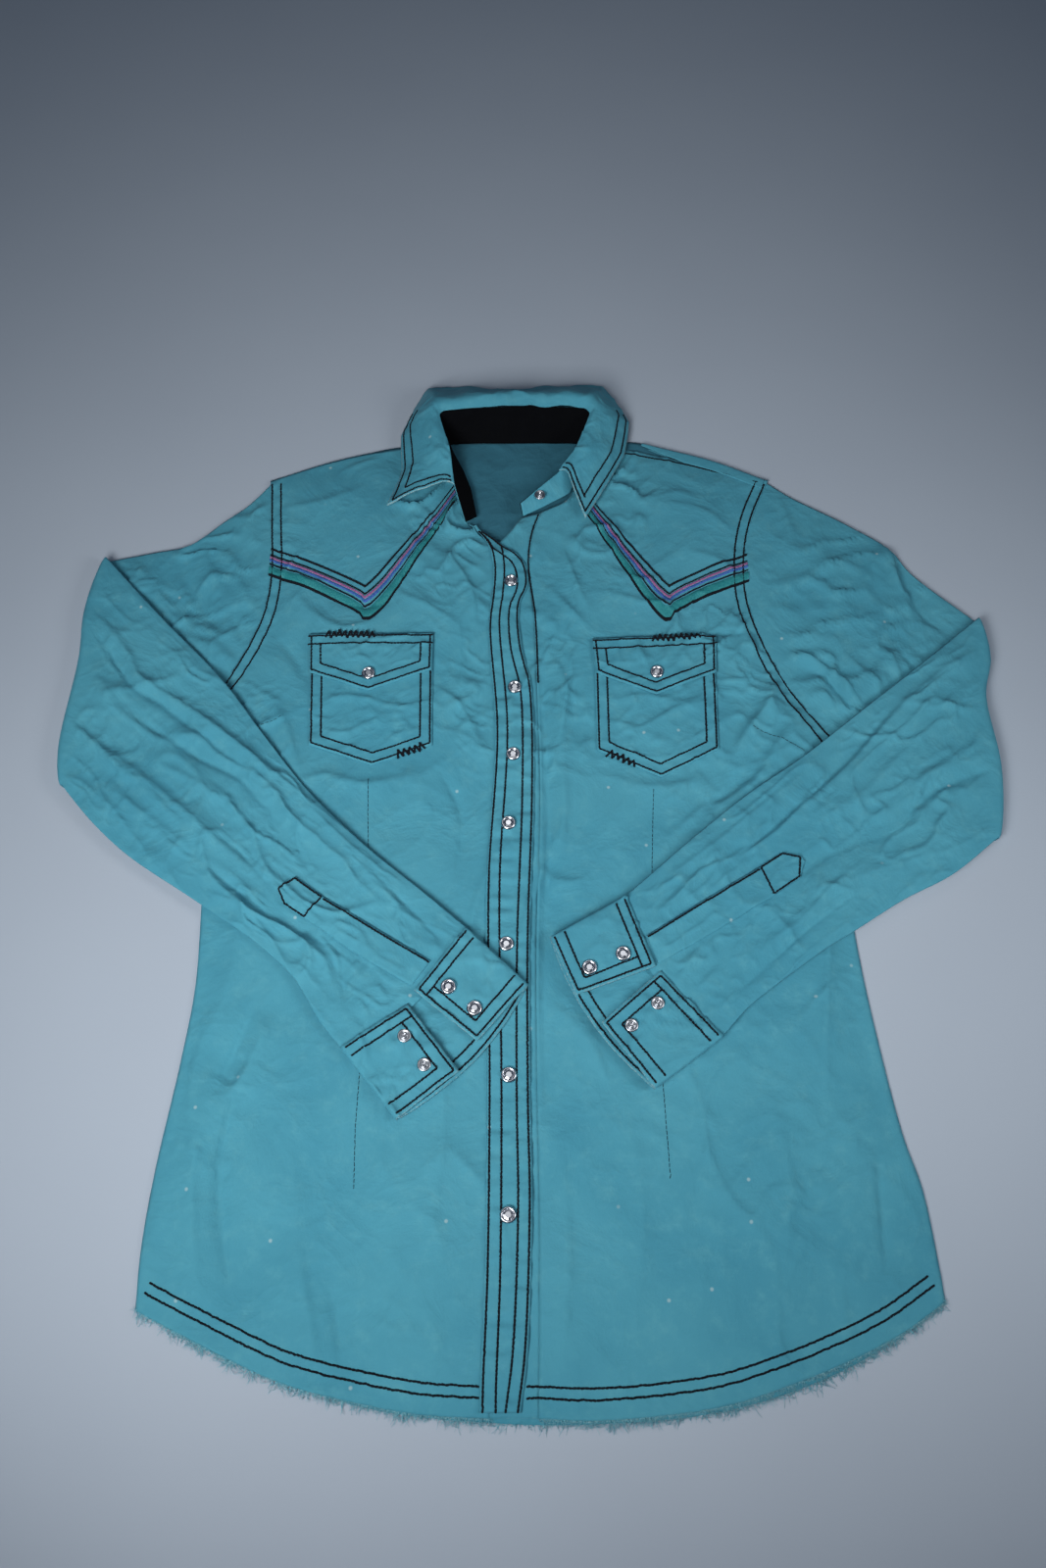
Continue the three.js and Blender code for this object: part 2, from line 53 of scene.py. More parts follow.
# ---- cut and outlines, as the frame's pieces have them ----
LEFT_SIDE = [
    (-202, 291), (-198, 242), (-195, 206), (-197, 171), (-206, 140), (-219, 111), (-231, 90),
    (-228, 40), (-222, -20), (-218, -80), (-217, -120), (-221, -168), (-229, -234), (-232, -280),
    (-231, -314),
]
RIGHT_SIDE = [
    (190, 291), (174, 252), (167, 220), (166, 180), (175, 142), (193, 100), (213, 70), (224, 54),
    (222, 0), (217, -60), (219, -102), (224, -150), (233, -213), (241, -246), (245, -290),
    (246, -309),
]
LEFT_HEM = [
    (-231, -314), (-207, -325), (-174, -340), (-141, -353), (-93, -364), (-61, -369), (-22, -371),
]
RIGHT_HEM = [
    (6, -371), (38, -372), (81, -369), (115, -364), (150, -354), (186, -341), (217, -327), (246, -309),
]
BACK_HEM = [
    (-231, -313), (-174, -340), (-93, -365), (-22, -373), (38, -374), (115, -367), (186, -345), (246, -310),
]
LEFT_TOP = [(-202, 291), (-150, 311), (-103, 322), (-74, 325), (-62, 305), (-55, 276), (-46, 250), (-24, 226)]
UNDER_TOP = [(-24, 226), (-9, 246), (-4, 254), (11, 259)]
RIGHT_TOP = [(11, 259), (32, 272), (42, 298), (54, 322), (83, 320), (103, 315), (189, 289)]
BACK_TOP = [
    (-202, 291), (-150, 312), (-103, 324), (-74, 327), (-63, 329), (-10, 330), (42, 331), (58, 330),
    (89, 329), (148, 310), (190, 291),
]
FRONT_EDGE = [
    (-24, 226), (-20, 208), (-21, 178), (-23, 154), (-17, 65), (-22, -47), (-20, -179), (-20, -294),
    (-22, -357), (-22, -371),
]
UNDER_EDGE = [
    (11, 259), (5, 240), (2, 208), (5, 165), (7, 107), (9, 12), (6, -85), (6, -192), (7, -257), (6, -371),
]
PLACKET_LEFT = [
    (-45, 248), (-32, 232), (-26, 208), (-27, 178), (-29, 154), (-23, 65), (-28, -47), (-26, -179),
    (-26, -294), (-28, -357), (-28, -368),
]
PLACKET_RIGHT = [
    (-43, 247), (-17, 226), (-3, 214), (1, 193), (-5, 174), (-4, 140), (3, 107), (5, 78), (5, 12),
    (2, -85), (2, -192), (3, -257), (0, -337), (-4, -368),
]
YOKE_SEAM_Y = 236
SHOULDER = [(92, 327), (148, 309), (187, 291)]
YOKE_WRAP = 9

Pocket = namedtuple("Pocket", "side bag flap snap top_tack low_tack")
POCKETS = [
    Pocket(
        "left", [(-160, 144), (-69, 145), (-67, 56), (-109, 40), (-155, 56)],
        [(-161, 147), (-69, 148), (-69, 117), (-115, 99), (-159, 115)], (-115, 113),
        [(-148, 146), (-112, 146)], [(-92, 48), (-73, 55)],
    ),
    Pocket(
        "right", [(49, 140), (138, 144), (136, 53), (94, 31), (49, 52)],
        [(48, 143), (139, 147), (138, 115), (93, 96), (50, 114)], (94, 114),
        [(92, 143), (127, 145)], [(57, 50), (76, 41)],
    ),
]
PLACKET_SNAPS = [(-12, 194), (-9, 102), (-10, 48), (-13, -5), (-14, -91), (-12, -177), (-12, -261)]

# a sleeve's outlines from the armhole to the cuff; near and far are the two sides of its placket
Sleeve = namedtuple(
    "Sleeve", "side outward armhole crown underarm fold upper lower seam cap stud caps studs near far"
)
SLEEVES = [
    Sleeve(
        side="left", outward=-1, armhole=LEFT_SIDE[:7],
        crown=[(-202, 291), (-220, 266), (-236, 251), (-260, 229), (-286, 222), (-319, 214)],
        underarm=[(-231, 90), (-324, 24)],
        fold=[(-319, 214), (-324, 165), (-322, 127), (-326, 56), (-324, 24)],
        upper=[
            (-319, 214), (-271, 161), (-219, 106), (-186, 62), (-151, 18), (-108, -24), (-74, -52),
            (-41, -80),
        ],
        lower=[
            (-324, 24), (-299, -4), (-271, -29), (-221, -62), (-177, -92), (-151, -116), (-134, -142),
            (-119, -160),
        ],
        seam=[(-41, -80), (-57, -103), (-75, -128), (-96, -146), (-119, -160)],
        # a cuff end's corners: at the fold by seam and rim, then at the free end by rim and seam
        cap=[(-41, -81), (0, -120), (-32, -157), (-73, -124)],
        stud=[(-118, -160), (-81, -205), (-43, -176), (-77, -133)],
        caps=[(-51, -122), (-34, -136)], studs=[(-78, -154), (-65, -172)],
        near=[(-167, -54), (-156, -45), (-135, -60), (-99, -82), (-63, -104)],
        far=[(-167, -57), (-162, -65), (-147, -75), (-112, -99), (-75, -121)],
    ),
    Sleeve(
        side="right", outward=1, armhole=RIGHT_SIDE[:8],
        crown=[(190, 291), (209, 275), (248, 249), (279, 225), (292, 203), (334, 160)],
        underarm=[(224, 54), (321, -16)],
        fold=[(334, 160), (333, 125), (325, 96), (327, 41), (321, -16)],
        upper=[(334, 160), (287, 121), (240, 83), (193, 45), (156, 19), (118, -12), (66, -58)],
        lower=[
            (321, -16), (286, -43), (251, -61), (217, -82), (194, -96), (163, -118), (143, -133), (124, -153),
        ],
        seam=[(66, -58), (76, -82), (85, -110), (104, -130), (124, -153)],
        cap=[(66, -59), (15, -88), (31, -127), (83, -108)],
        stud=[(124, -153), (79, -186), (47, -145), (86, -111)],
        caps=[(40, -109), (62, -100)], studs=[(66, -147), (83, -133)],
        near=[(185, -31), (172, -28), (155, -39), (116, -63), (78, -87)],
        far=[(187, -34), (183, -46), (163, -60), (125, -83), (85, -106)],
    ),
]

# the collar from its left end round the back of the neck: the stand's base and top, the leaf's crest and edge
Station = namedtuple("Station", "base top crest edge")
COLLAR = [
    Station((-39, 253, 6.4), (-47, 244, 11), None, None),
    Station((-44, 279, 6.4), (-56, 276, 17), (-62, 278, 19), (-108, 262, 9.5)),
    Station((-53, 304, 6.2), (-60, 306, 23), (-68, 306, 25), (-98, 294, 7.6)),
    Station((-66, 325, 4.4), (-69, 339, 23), (-75, 345, 26), (-100, 332, 6)),
    Station((-50, 329, 2.4), (-66, 343, 23), (-71, 350, 27), (-80, 382, 4)),
    Station((-10, 329, 2.4), (-10, 348, 23), (-10, 357, 27), (-10, 384, 3)),
    Station((32, 329, 2.4), (46, 346, 23), (51, 354, 27), (62, 385, 4)),
    Station((47, 326, 4.4), (50, 341, 23), (56, 347, 26), (82, 346, 6)),
    Station((43, 302, 6.2), (37, 305, 21), (45, 306, 24), (77, 312, 7.2)),
    Station((33, 276, 6.4), (25, 289, 16), (30, 287, 18), (45, 250, 8.8)),
    Station((15, 264, 6.4), (10, 275, 14.5), None, None),
    Station((-3, 254, 6.4), (-5, 260, 14), None, None),
]

# ---- heights and thicknesses, mm; the frame says how high the panels lie ----
CLOTH = 0.7
LAYER = 1.5
SEAM_Z = 2.4  # a front where it is sewn to the back
FRONT_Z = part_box("front_left")[1].z / MM
SLEEVE_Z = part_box("sleeve_left")[1].z / MM
EDGE_REACH = 30  # a front is at its full height this far in from its edges
FOLD_RADIUS = 5.6  # of a sleeve's outer layer where the forearm folds over
SLEEVE_LOFT = 4.6  # from a sleeve's lower layer to its upper
TUCK = 5  # how far a sleeve goes on inside its cuff
CUFF_LOW, CUFF_HIGH, CUFF_CLOTH = 8.0, 12.2, 1.6  # how high a cuff's layers lie, and their thickness
CUFF_BOW = 9  # how far a cuff's lower layer bows past the line between its folds
STITCH, STITCH_GAP, THREAD = 2.8, 2.4, 0.68  # length, pitch and radius of topstitching

# how far rows of topstitching run from the edge that they follow, mm
PLACKET_ROWS = ((0, 2.0), (0, 9.5), (1, 9.0), (1, 2.0))  # side, 0 the left and 1 the free right, and distance
BAG_ROWS, FLAP_ROWS, LEAF_ROWS = (2.0, 9.0), (2.2, 9.0), (2.4, 8.4)
HEM_ROWS, ARMHOLE_ROWS = (10.5, 16.5), (1.5, 8.5)
CUFF_ROWS, CUFF_SEAM_ROWS = (2.5, 10.0), (2.5, 9.0)

# the frame's pocket has straight edges, so its corner says where the outlines' origin lies
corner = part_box("pocket_left")[0]
CENTRE = np.array([-160 - corner.x / MM, 40 - corner.y / MM, 0.0])


def row(points):
    """Outline millimetres as the frame's metres."""
    return (np.asarray(points, float) - CENTRE) * MM


# ---- creases: a path on the table, height (a trough below 0) and width ----
Crease = namedtuple("Crease", "path high wide")
LEAN = 0.5  # a ridge's flank towards the collar is this much narrower, and so is a trough's other flank
FRONT_CREASES = [
    Crease([(-185, 145), (-171, 129), (-159, 104)], -1.4, 5),
    Crease([(-175, 188), (-159, 167), (-136, 154), (-111, 161)], 1.3, 5),
    Crease([(-186, -175), (-189, -242), (-175, -312)], -2.0, 9),
    Crease([(-200, -180), (-204, -240), (-193, -310)], 1.4, 9),
    Crease([(-137, -280), (-121, -345)], 1.0, 5),
    Crease([(-117, -300), (-106, -350)], -1.2, 5),
    Crease([(-164, -140), (-174, -166), (-187, -192), (-191, -225)], 1.6, 6),
    Crease([(-176, -130), (-197, -190)], -1.3, 5),
    Crease([(-146, 299), (-118, 314)], 1.0, 5),
    Crease([(-190, 262), (-160, 268), (-128, 282)], 0.9, 8),
    Crease([(-101, 188), (-71, 171), (-49, 154)], 1.1, 6),
    Crease([(-62, 224), (-42, 188), (-38, 154)], 1.3, 5),
    Crease([(-66, 104), (-48, 88), (-33, 56)], 1.4, 5),
    Crease([(-60, 33), (-46, 3), (-48, -47)], -1.2, 6),
    Crease([(-163, 26), (-143, 33), (-115, 26), (-81, 33)], 1.2, 5),
    Crease([(-190, 100), (-178, 84), (-158, 30)], 1.4, 6),
    Crease([(-150, 180), (-120, 172), (-98, 178)], -0.9, 6),
    Crease([(-180, 210), (-166, 196), (-150, 196)], 0.9, 5),
    Crease([(-60, -140), (-52, -200), (-58, -280)], 0.9, 10),
    Crease([(-150, -200), (-140, -260), (-146, -320)], 0.8, 12),
    Crease([(184, 112), (172, 88), (159, 71), (146, 50)], 2.4, 5),
    Crease([(166, 42), (140, 20), (110, 2)], -1.3, 6),
    Crease([(196, 84), (178, 58), (160, 30), (128, 6)], 1.6, 7),
    Crease([(11, 150), (11, 88), (14, -11), (10, -115), (12, -200)], -1.9, 5),
    Crease([(24, 120), (26, 40), (22, -60)], 0.9, 9),
    Crease([(8, -36), (24, -46), (40, -44)], 1.2, 4),
    Crease([(215, -225), (213, -296)], -1.6, 6),
    Crease([(120, 150), (144, 148), (169, 152)], -1.2, 4),
    Crease([(17, 188), (31, 171), (45, 154)], 1.2, 5),
    Crease([(28, 224), (39, 188), (46, 171)], 1.1, 5),
    Crease([(14, 137), (28, 104), (22, 56)], 1.3, 5),
    Crease([(148, 171), (161, 154), (167, 129)], 1.3, 5),
    Crease([(122, 224), (151, 211), (170, 186)], 1.0, 6),
    Crease([(100, 268), (132, 262), (160, 240)], 0.9, 6),
    Crease([(70, 292), (92, 272), (118, 278), (136, 270)], 0.9, 6),
    Crease([(60, 30), (90, 24), (124, 30)], 1.0, 5),
    Crease([(14, -128), (39, -154), (52, -184)], 1.2, 6),
    Crease([(60, -190), (70, -250), (62, -330)], 0.8, 12),
    Crease([(150, -180), (160, -240), (150, -310)], 0.9, 12),
    Crease([(20, -210), (24, -280), (20, -350)], 0.9, 7),
    Crease([(62, 208), (84, 196), (104, 200)], 1.0, 5),
    Crease([(58, 186), (88, 176), (118, 178)], 1.0, 4),
    Crease([(-96, 250), (-84, 226), (-88, 204)], 0.9, 7),
]
POCKET_CREASES = [
    Crease([(-150, 91), (-126, 95), (-87, 86), (-72, 92)], 0.9, 3),
    Crease([(-150, 70), (-129, 66), (-115, 73), (-98, 79)], 0.8, 3),
    Crease([(-136, 140), (-130, 124)], 0.6, 3),
    Crease([(-128, 142), (-120, 121)], 0.7, 3),
    Crease([(-104, 142), (-110, 121)], 0.7, 3),
    Crease([(-88, 140), (-98, 124)], 0.5, 3),
    Crease([(55, 76), (71, 72), (78, 69), (107, 85), (133, 92)], 0.9, 3),
    Crease([(60, 92), (86, 96), (112, 90), (132, 98)], 0.7, 3),
    Crease([(80, 138), (88, 121)], 0.7, 3),
    Crease([(108, 139), (100, 121)], 0.7, 3),
    Crease([(118, 136), (108, 124)], 0.5, 3),
]
UPPER_ARM_CREASES = [
    Crease([(-262, 226), (-262, 205), (-241, 170), (-227, 151)], -1.6, 6),
    Crease([(-246, 236), (-244, 214), (-226, 184)], 1.4, 8),
    Crease([(-223, 176), (-208, 138)], -1.2, 4),
    Crease([(-272, 168), (-245, 156), (-217, 146)], 1.2, 4),
    Crease([(-262, 150), (-225, 136)], 1.2, 4),
    Crease([(-290, 200), (-262, 176), (-236, 160)], -1.3, 6),
    Crease([(-230, 140), (-212, 124)], 1.0, 4),
    Crease([(-300, 214), (-284, 196), (-262, 186)], 1.2, 6),
    Crease([(274, 232), (278, 216), (279, 202), (283, 184)], 2.4, 4),
    Crease([(283, 222), (287, 206), (289, 190), (296, 168), (306, 150)], -3.2, 6),
    Crease([(290, 186), (303, 192), (328, 170)], 1.8, 6),
    Crease([(184, 147), (214, 148), (232, 142)], 1.1, 4),
    Crease([(182, 173), (206, 170)], 0.9, 4),
    Crease([(210, 209), (239, 212), (259, 203)], 0.9, 4),
    Crease([(188, 126), (201, 131), (215, 122), (228, 110), (240, 88)], 2.5, 4),
    Crease([(190, 112), (211, 117), (222, 104), (233, 84)], -2.6, 4),
    Crease([(202, 96), (214, 99), (222, 84)], 2.4, 4),
    Crease([(234, 132), (242, 121), (253, 107), (256, 95)], 1.6, 4),
    Crease([(264, 138), (272, 108)], 1.2, 4),
    Crease([(271, 138), (284, 118)], -1.2, 4),
    Crease([(200, 262), (206, 236), (200, 214)], 0.9, 6),
    Crease([(228, 246), (226, 222), (238, 196)], 0.8, 7),
]
FOREARM_CREASES = [
    Crease([
        (-331, 162), (-312, 153), (-290, 128), (-278, 106), (-257, 93), (-229, 74), (-171, 28), (-120, -14),
    ], 2.6, 6),
    Crease([(-319, 148), (-302, 126), (-284, 100), (-263, 88), (-236, 66), (-190, 30)], -2.2, 6),
    Crease([(-328, 76), (-309, 57), (-272, 33), (-243, 9), (-212, -18), (-178, -46)], 1.6, 5),
    Crease([(-310, 92), (-248, 56), (-235, 46), (-198, 26), (-170, -8)], -1.6, 5),
    Crease([(-300, 30), (-262, 0), (-224, -28)], 1.2, 6),
    Crease([(-318, 120), (-290, 84), (-262, 66)], 1.0, 6),
    Crease([(-211, -14), (-191, -30), (-176, -46), (-168, -53)], -1.3, 4),
    Crease([
        (-222, -34), (-208, -44), (-191, -58), (-174, -69), (-150, -83), (-129, -93), (-100, -108),
    ], -2.2, 4),
    Crease([(-212, -34), (-190, -50), (-168, -66)], 1.0, 5),
    Crease([(-214, -56), (-190, -65), (-174, -74)], 1.2, 4),
    Crease([(-182, -72), (-166, -92), (-154, -112), (-142, -128), (-130, -142)], 1.8, 4),
    Crease([(-145, -90), (-132, -103), (-128, -116)], 1.5, 4),
    Crease([(-127, -104), (-120, -117), (-118, -130)], -1.4, 4),
    Crease([(-173, -2), (-169, -16), (-154, -27), (-145, -46)], -1.3, 6),
    Crease([(-104, -42), (-83, -63), (-66, -80), (-53, -94)], -1.0, 3),
    Crease([(-150, 6), (-118, -24), (-84, -50)], 1.2, 5),
    Crease([(-98, -118), (-90, -130)], 1.0, 3),
    Crease([(-108, -128), (-102, -142)], 0.9, 3),
    Crease([(-62, -90), (-56, -98)], 0.9, 3),
    Crease([
        (332, 37), (299, 26), (277, 15), (260, -2), (249, -12), (234, -15), (202, -30), (176, -50),
    ], -2.6, 6),
    Crease([(330, 50), (298, 38), (268, 24), (246, 4)], 1.5, 6),
    Crease([(335, 135), (298, 112), (266, 83), (238, 53), (207, 22), (172, -8)], 1.6, 6),
    Crease([(262, 84), (247, 67), (226, 43), (196, 15), (170, -8), (134, -38)], -1.9, 4),
    Crease([(300, 80), (268, 52), (240, 24), (212, -4)], 1.1, 7),
    Crease([(328, 0), (294, -22), (238, -39), (205, -52)], 1.0, 6),
    Crease([(230, -32), (204, -52), (180, -76), (150, -96)], 1.3, 5),
    Crease([(214, -60), (180, -86), (150, -112), (128, -130)], -1.4, 5),
    Crease([(190, 30), (160, 6), (126, -22), (96, -44)], 1.1, 5),
    Crease([(128, -34), (108, -50), (90, -72)], 1.0, 3),
    Crease([(112, -96), (98, -108)], 1.1, 3),
    Crease([(124, -108), (110, -122)], 1.0, 3),
    Crease([(136, -122), (122, -136)], 0.9, 3),
]
YOKE_CREASES = [
    Crease([(-44, 318), (-24, 304), (6, 308)], 0.9, 6),
    Crease([(-40, 290), (-12, 282), (14, 292)], -0.8, 6),
    Crease([(-30, 262), (-10, 258)], 0.8, 4),
]


# ---- lines, patches and surfaces ----
def rounded(points, steps=20):
    """The points again with a smooth line through them, closely spaced."""
    p = np.array(points, float)
    if len(p) < 3:
        return p
    p = np.vstack([2 * p[0] - p[1], p, 2 * p[-1] - p[-2]])
    t = np.linspace(0, 1, steps, endpoint=False)[:, None]
    out = []
    for a, b, c, d in zip(p, p[1:], p[2:], p[3:]):
        g0, g1, g2 = (max(np.linalg.norm(q - r), 1e-6) ** 0.5 for q, r in ((b, a), (c, b), (d, c)))
        leaving = g1 * ((b - a) / g0 - (c - a) / (g0 + g1) + (c - b) / g1)
        reaching = g1 * ((c - b) / g1 - (d - b) / (g1 + g2) + (d - c) / g2)
        out.append(
            b + leaving * t + (3 * (c - b) - 2 * leaving - reaching) * t**2
            + (2 * (b - c) + leaving + reaching) * t**3
        )
    return np.vstack(out + [p[-2:-1]])


def lengths(points):
    return np.concatenate([[0], np.cumsum(np.linalg.norm(np.diff(points, axis=0), axis=1))])


def through(points, at, t):
    return np.stack([np.interp(t, at, points[:, k]) for k in range(points.shape[1])], -1)


def smooth(points):
    """A smooth line by its share of the length."""
    dense = rounded(points)
    at = lengths(dense) / lengths(dense)[-1]
    return lambda t: through(dense, at, t)


def angular(points, hard=0.75):
    """A line by its share of the length, part way between smooth and straight."""
    p = np.array(points, float)
    curve, at = smooth(p), lengths(p) / lengths(p)[-1]
    return lambda t: curve(t) * (1 - hard) + through(p, at, t) * hard


def cornered(points):
    """A line with corners, whose points are evenly spaced in t."""
    p = np.array(points, float)
    at = np.linspace(0, 1, len(p))
    return lambda t: through(p, at, t)


def coons(top, bottom, left, right):
    """The patch that four edges hold: u runs along top and bottom, v down left and right."""
    def patch(u, v):
        u, v = np.broadcast_arrays(np.asarray(u, float), np.asarray(v, float))
        a, b = u[..., None], v[..., None]
        rows = top(u) * (1 - b) + bottom(u) * b
        sides = left(v) * (1 - a) + right(v) * a
        above, below = (edge(0.0) * (1 - a) + edge(1.0) * a for edge in (top, bottom))
        return rows + sides - (above * (1 - b) + below * b)
    return patch


def step(x, low, high):
    t = np.clip((x - low) / (high - low), 0, 1)
    return t * t * (3 - 2 * t)


def noise(x, y, size, seed):
    """Smooth lumps about size mm across, from -1 to 1."""
    table = np.random.default_rng(seed).uniform(-1, 1, (61, 61))
    gx, gy = x / size + 1000, y / size + 1000
    ix, iy = np.floor(gx).astype(int), np.floor(gy).astype(int)
    fx, fy = gx - ix, gy - iy
    fx, fy = fx**3 * (fx * (6 * fx - 15) + 10), fy**3 * (fy * (6 * fy - 15) + 10)
    at = lambda i, j: table[(ix + i) % 61, (iy + j) % 61]
    return (at(0, 0) * (1 - fx) + at(1, 0) * fx) * (1 - fy) + (at(0, 1) * (1 - fx) + at(1, 1) * fx) * fy


def crumple(x, y, size, seed, angle=0.0, stretch=1.0):
    """Crisp ridges that branch and fade between flat facets, as washed poplin has."""
    c, s = math.cos(angle), math.sin(angle)
    a, b = (x * c + y * s) / stretch, y * c - x * s
    a = a + 0.4 * size * noise(x, y, size * 1.7, seed + 1)
    b = b + 0.4 * size * noise(x, y, size * 1.7, seed + 2)
    away = np.abs(noise(a, b, size, seed) + 0.12 * noise(x, y, size * 0.6, seed + 5))
    ridge = 1.9 * np.exp(-6.0 * away) - 0.6
    return ridge * (0.5 + 0.5 * noise(x, y, size * 2.5, seed + 3))


def crease_height(x, y, creases):
    """How far a list of creases lifts or sinks the cloth at each point."""
    total = np.zeros_like(x)
    for path, high, wide in creases:
        line = smooth(path)(np.linspace(0, 1, 16)) if len(path) > 2 else cornered(path)(np.linspace(0, 1, 2))
        low, up = line.min(0) - 4 * wide, line.max(0) + 4 * wide
        near = (x > low[0]) & (x < up[0]) & (y > low[1]) & (y < up[1])
        if not near.any():
            continue
        px, py = x[near], y[near]
        best, steep, share = np.full(px.shape, np.inf), np.ones_like(px), np.zeros_like(px)
        for i, ((ax, ay), (bx, by)) in enumerate(zip(line, line[1:])):
            dx, dy = bx - ax, by - ay
            t = np.clip(((px - ax) * dx + (py - ay) * dy) / (dx * dx + dy * dy), 0, 1)
            ex, ey = px - ax - t * dx, py - ay - t * dy
            far = ex * ex + ey * ey
            closer = far < best
            best = np.where(closer, far, best)
            steep = np.where(closer, np.sign((0.45 * ex + 0.9 * ey) * high), steep)
            share = np.where(closer, (i + t) / (len(line) - 1), share)
        across = np.sqrt(best) / (wide * (1 - LEAN * steep))
        taper = np.sin(math.pi * (0.03 + 0.94 * share)) ** 0.7
        total[near] += high * taper * np.exp(-across)
    return total


def within(x, y, outline):
    """Whether plan points are inside an outline."""
    odd = np.zeros(np.shape(x), bool)
    p = np.array(outline, float)
    for (ax, ay), (bx, by) in zip(p, np.roll(p, -1, 0)):
        crosses = (ay > y) != (by > y)
        odd ^= crosses & (x < (bx - ax) * (y - ay) / (by - ay + 1e-9) + ax)
    return odd


def side_reading(table):
    p = rounded(table)
    order = np.argsort(p[:, 1])
    return lambda y: np.interp(y, p[order, 1], p[order, 0])


LEFT_X, RIGHT_X = side_reading(LEFT_SIDE), side_reading(RIGHT_SIDE)
HEM_LINE = rounded(LEFT_HEM + RIGHT_HEM)
SHOULDER_LINE = rounded(BACK_TOP)


def near_line(x, y, table, low, high):
    """1 where a point is between two distances from a line of outline points, else 0, softly."""
    line = rounded(table, 6)
    best = np.full(np.shape(x), np.inf)
    for (ax, ay), (bx, by) in zip(line, line[1:]):
        dx, dy = bx - ax, by - ay
        t = np.clip(((x - ax) * dx + (y - ay) * dy) / (dx * dx + dy * dy), 0, 1)
        best = np.minimum(best, np.hypot(x - ax - t * dx, y - ay - t * dy))
    return step(best, low - 2, low) * (1 - step(best, high, high + 2))


def under_pocket(x, y):
    """1 under a pocket and 0 away from it, softly."""
    total = np.zeros(np.shape(x))
    for pocket in POCKETS:
        (x0, y0), (x1, _), low_right, point, _ = pocket.bag
        across = step(x, x0 - 2, x0 + 8) * (1 - step(x, x1 - 8, x1 + 2))
        total += across * step(y, point[1], low_right[1] + 6) * (1 - step(y, y0 - 2, y0 + 8))
    return total


def front_height(x, y):
    """The top of the fronts, with their creases."""
    side = np.minimum(x - LEFT_X(y), RIGHT_X(y) - x)
    hem = y - np.interp(x, HEM_LINE[:, 0], HEM_LINE[:, 1])
    shoulder = np.interp(x, SHOULDER_LINE[:, 0], SHOULDER_LINE[:, 1]) - y
    shoulder = np.where(np.abs(x + 5) > 60, shoulder, EDGE_REACH)
    inside = np.minimum(np.minimum(side, hem), np.maximum(shoulder, 0))
    rolled = np.where(y < 88, np.clip(side / 5, 0, 1), 1)
    rolled = np.minimum(rolled, np.where(x < 0, np.clip(shoulder / 4, 0, 1), 1))
    base = 1.1 + (SEAM_Z - 1.1) * np.sqrt(np.clip(1 - (1 - rolled) ** 2, 0, 1))
    puff = (FRONT_Z - SEAM_Z) * step(inside, 0, EDGE_REACH)
    free = step(inside, 0, 12)
    chest = step(y, -60, 60)
    busy = step(noise(x, y, 70, 21), -0.5, 0.5) * (0.4 + 0.6 * chest)
    small = busy * (3.3 * crumple(x, y, 20, 3, 0.9, 1.8) + 1.7 * crumple(x, y, 10, 9, -0.5, 1.6))
    long = (1 - 0.7 * chest) * 2.1 * crumple(x, y, 46, 17, 1.5, 3.5)
    broad = 1.1 * noise(x, y, 62, 5) + 0.6 * noise(x, y, 30, 6)
    middle = np.interp(y, [-371, -180, 12, 107, 178, 226], [-14, -12, -10, -12, -14, -22])
    calm = (1 - 0.75 * under_pocket(x, y)) * (1 - 0.5 * step(15 - np.abs(x - middle), -2, 6) * (y < 230))
    # small puckers across the rows of stitching by the hems and the armholes
    ladder = 0.55 * noise(x, y, 4.4, 23) * (
        near_line(x, y, LEFT_HEM + RIGHT_HEM, 8, 19)
        + near_line(x, y, LEFT_SIDE[:7], 0, 10) + near_line(x, y, RIGHT_SIDE[:8], 0, 10)
    )
    lift = free * calm * (small + long + broad + 2.5 * crease_height(x, y, FRONT_CREASES))
    high = np.maximum(base + puff + ladder + lift, 1.0)
    for sleeve in SLEEVES:
        covered = within(x, y, sleeve.upper + [sleeve.cap[1], sleeve.stud[1]] + sleeve.lower[::-1])
        high = np.where(covered, np.minimum(high, FRONT_Z + 1), high)
    return high


# ---- meshes ----
def shown(mesh, name, material):
    """A finished mesh as a piece that rides on the shirt."""
    piece = bpy.data.objects.new(name, mesh)
    bpy.context.scene.collection.objects.link(piece)
    if material:
        mesh.materials.append(material)
    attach(piece, BODY)
    return piece


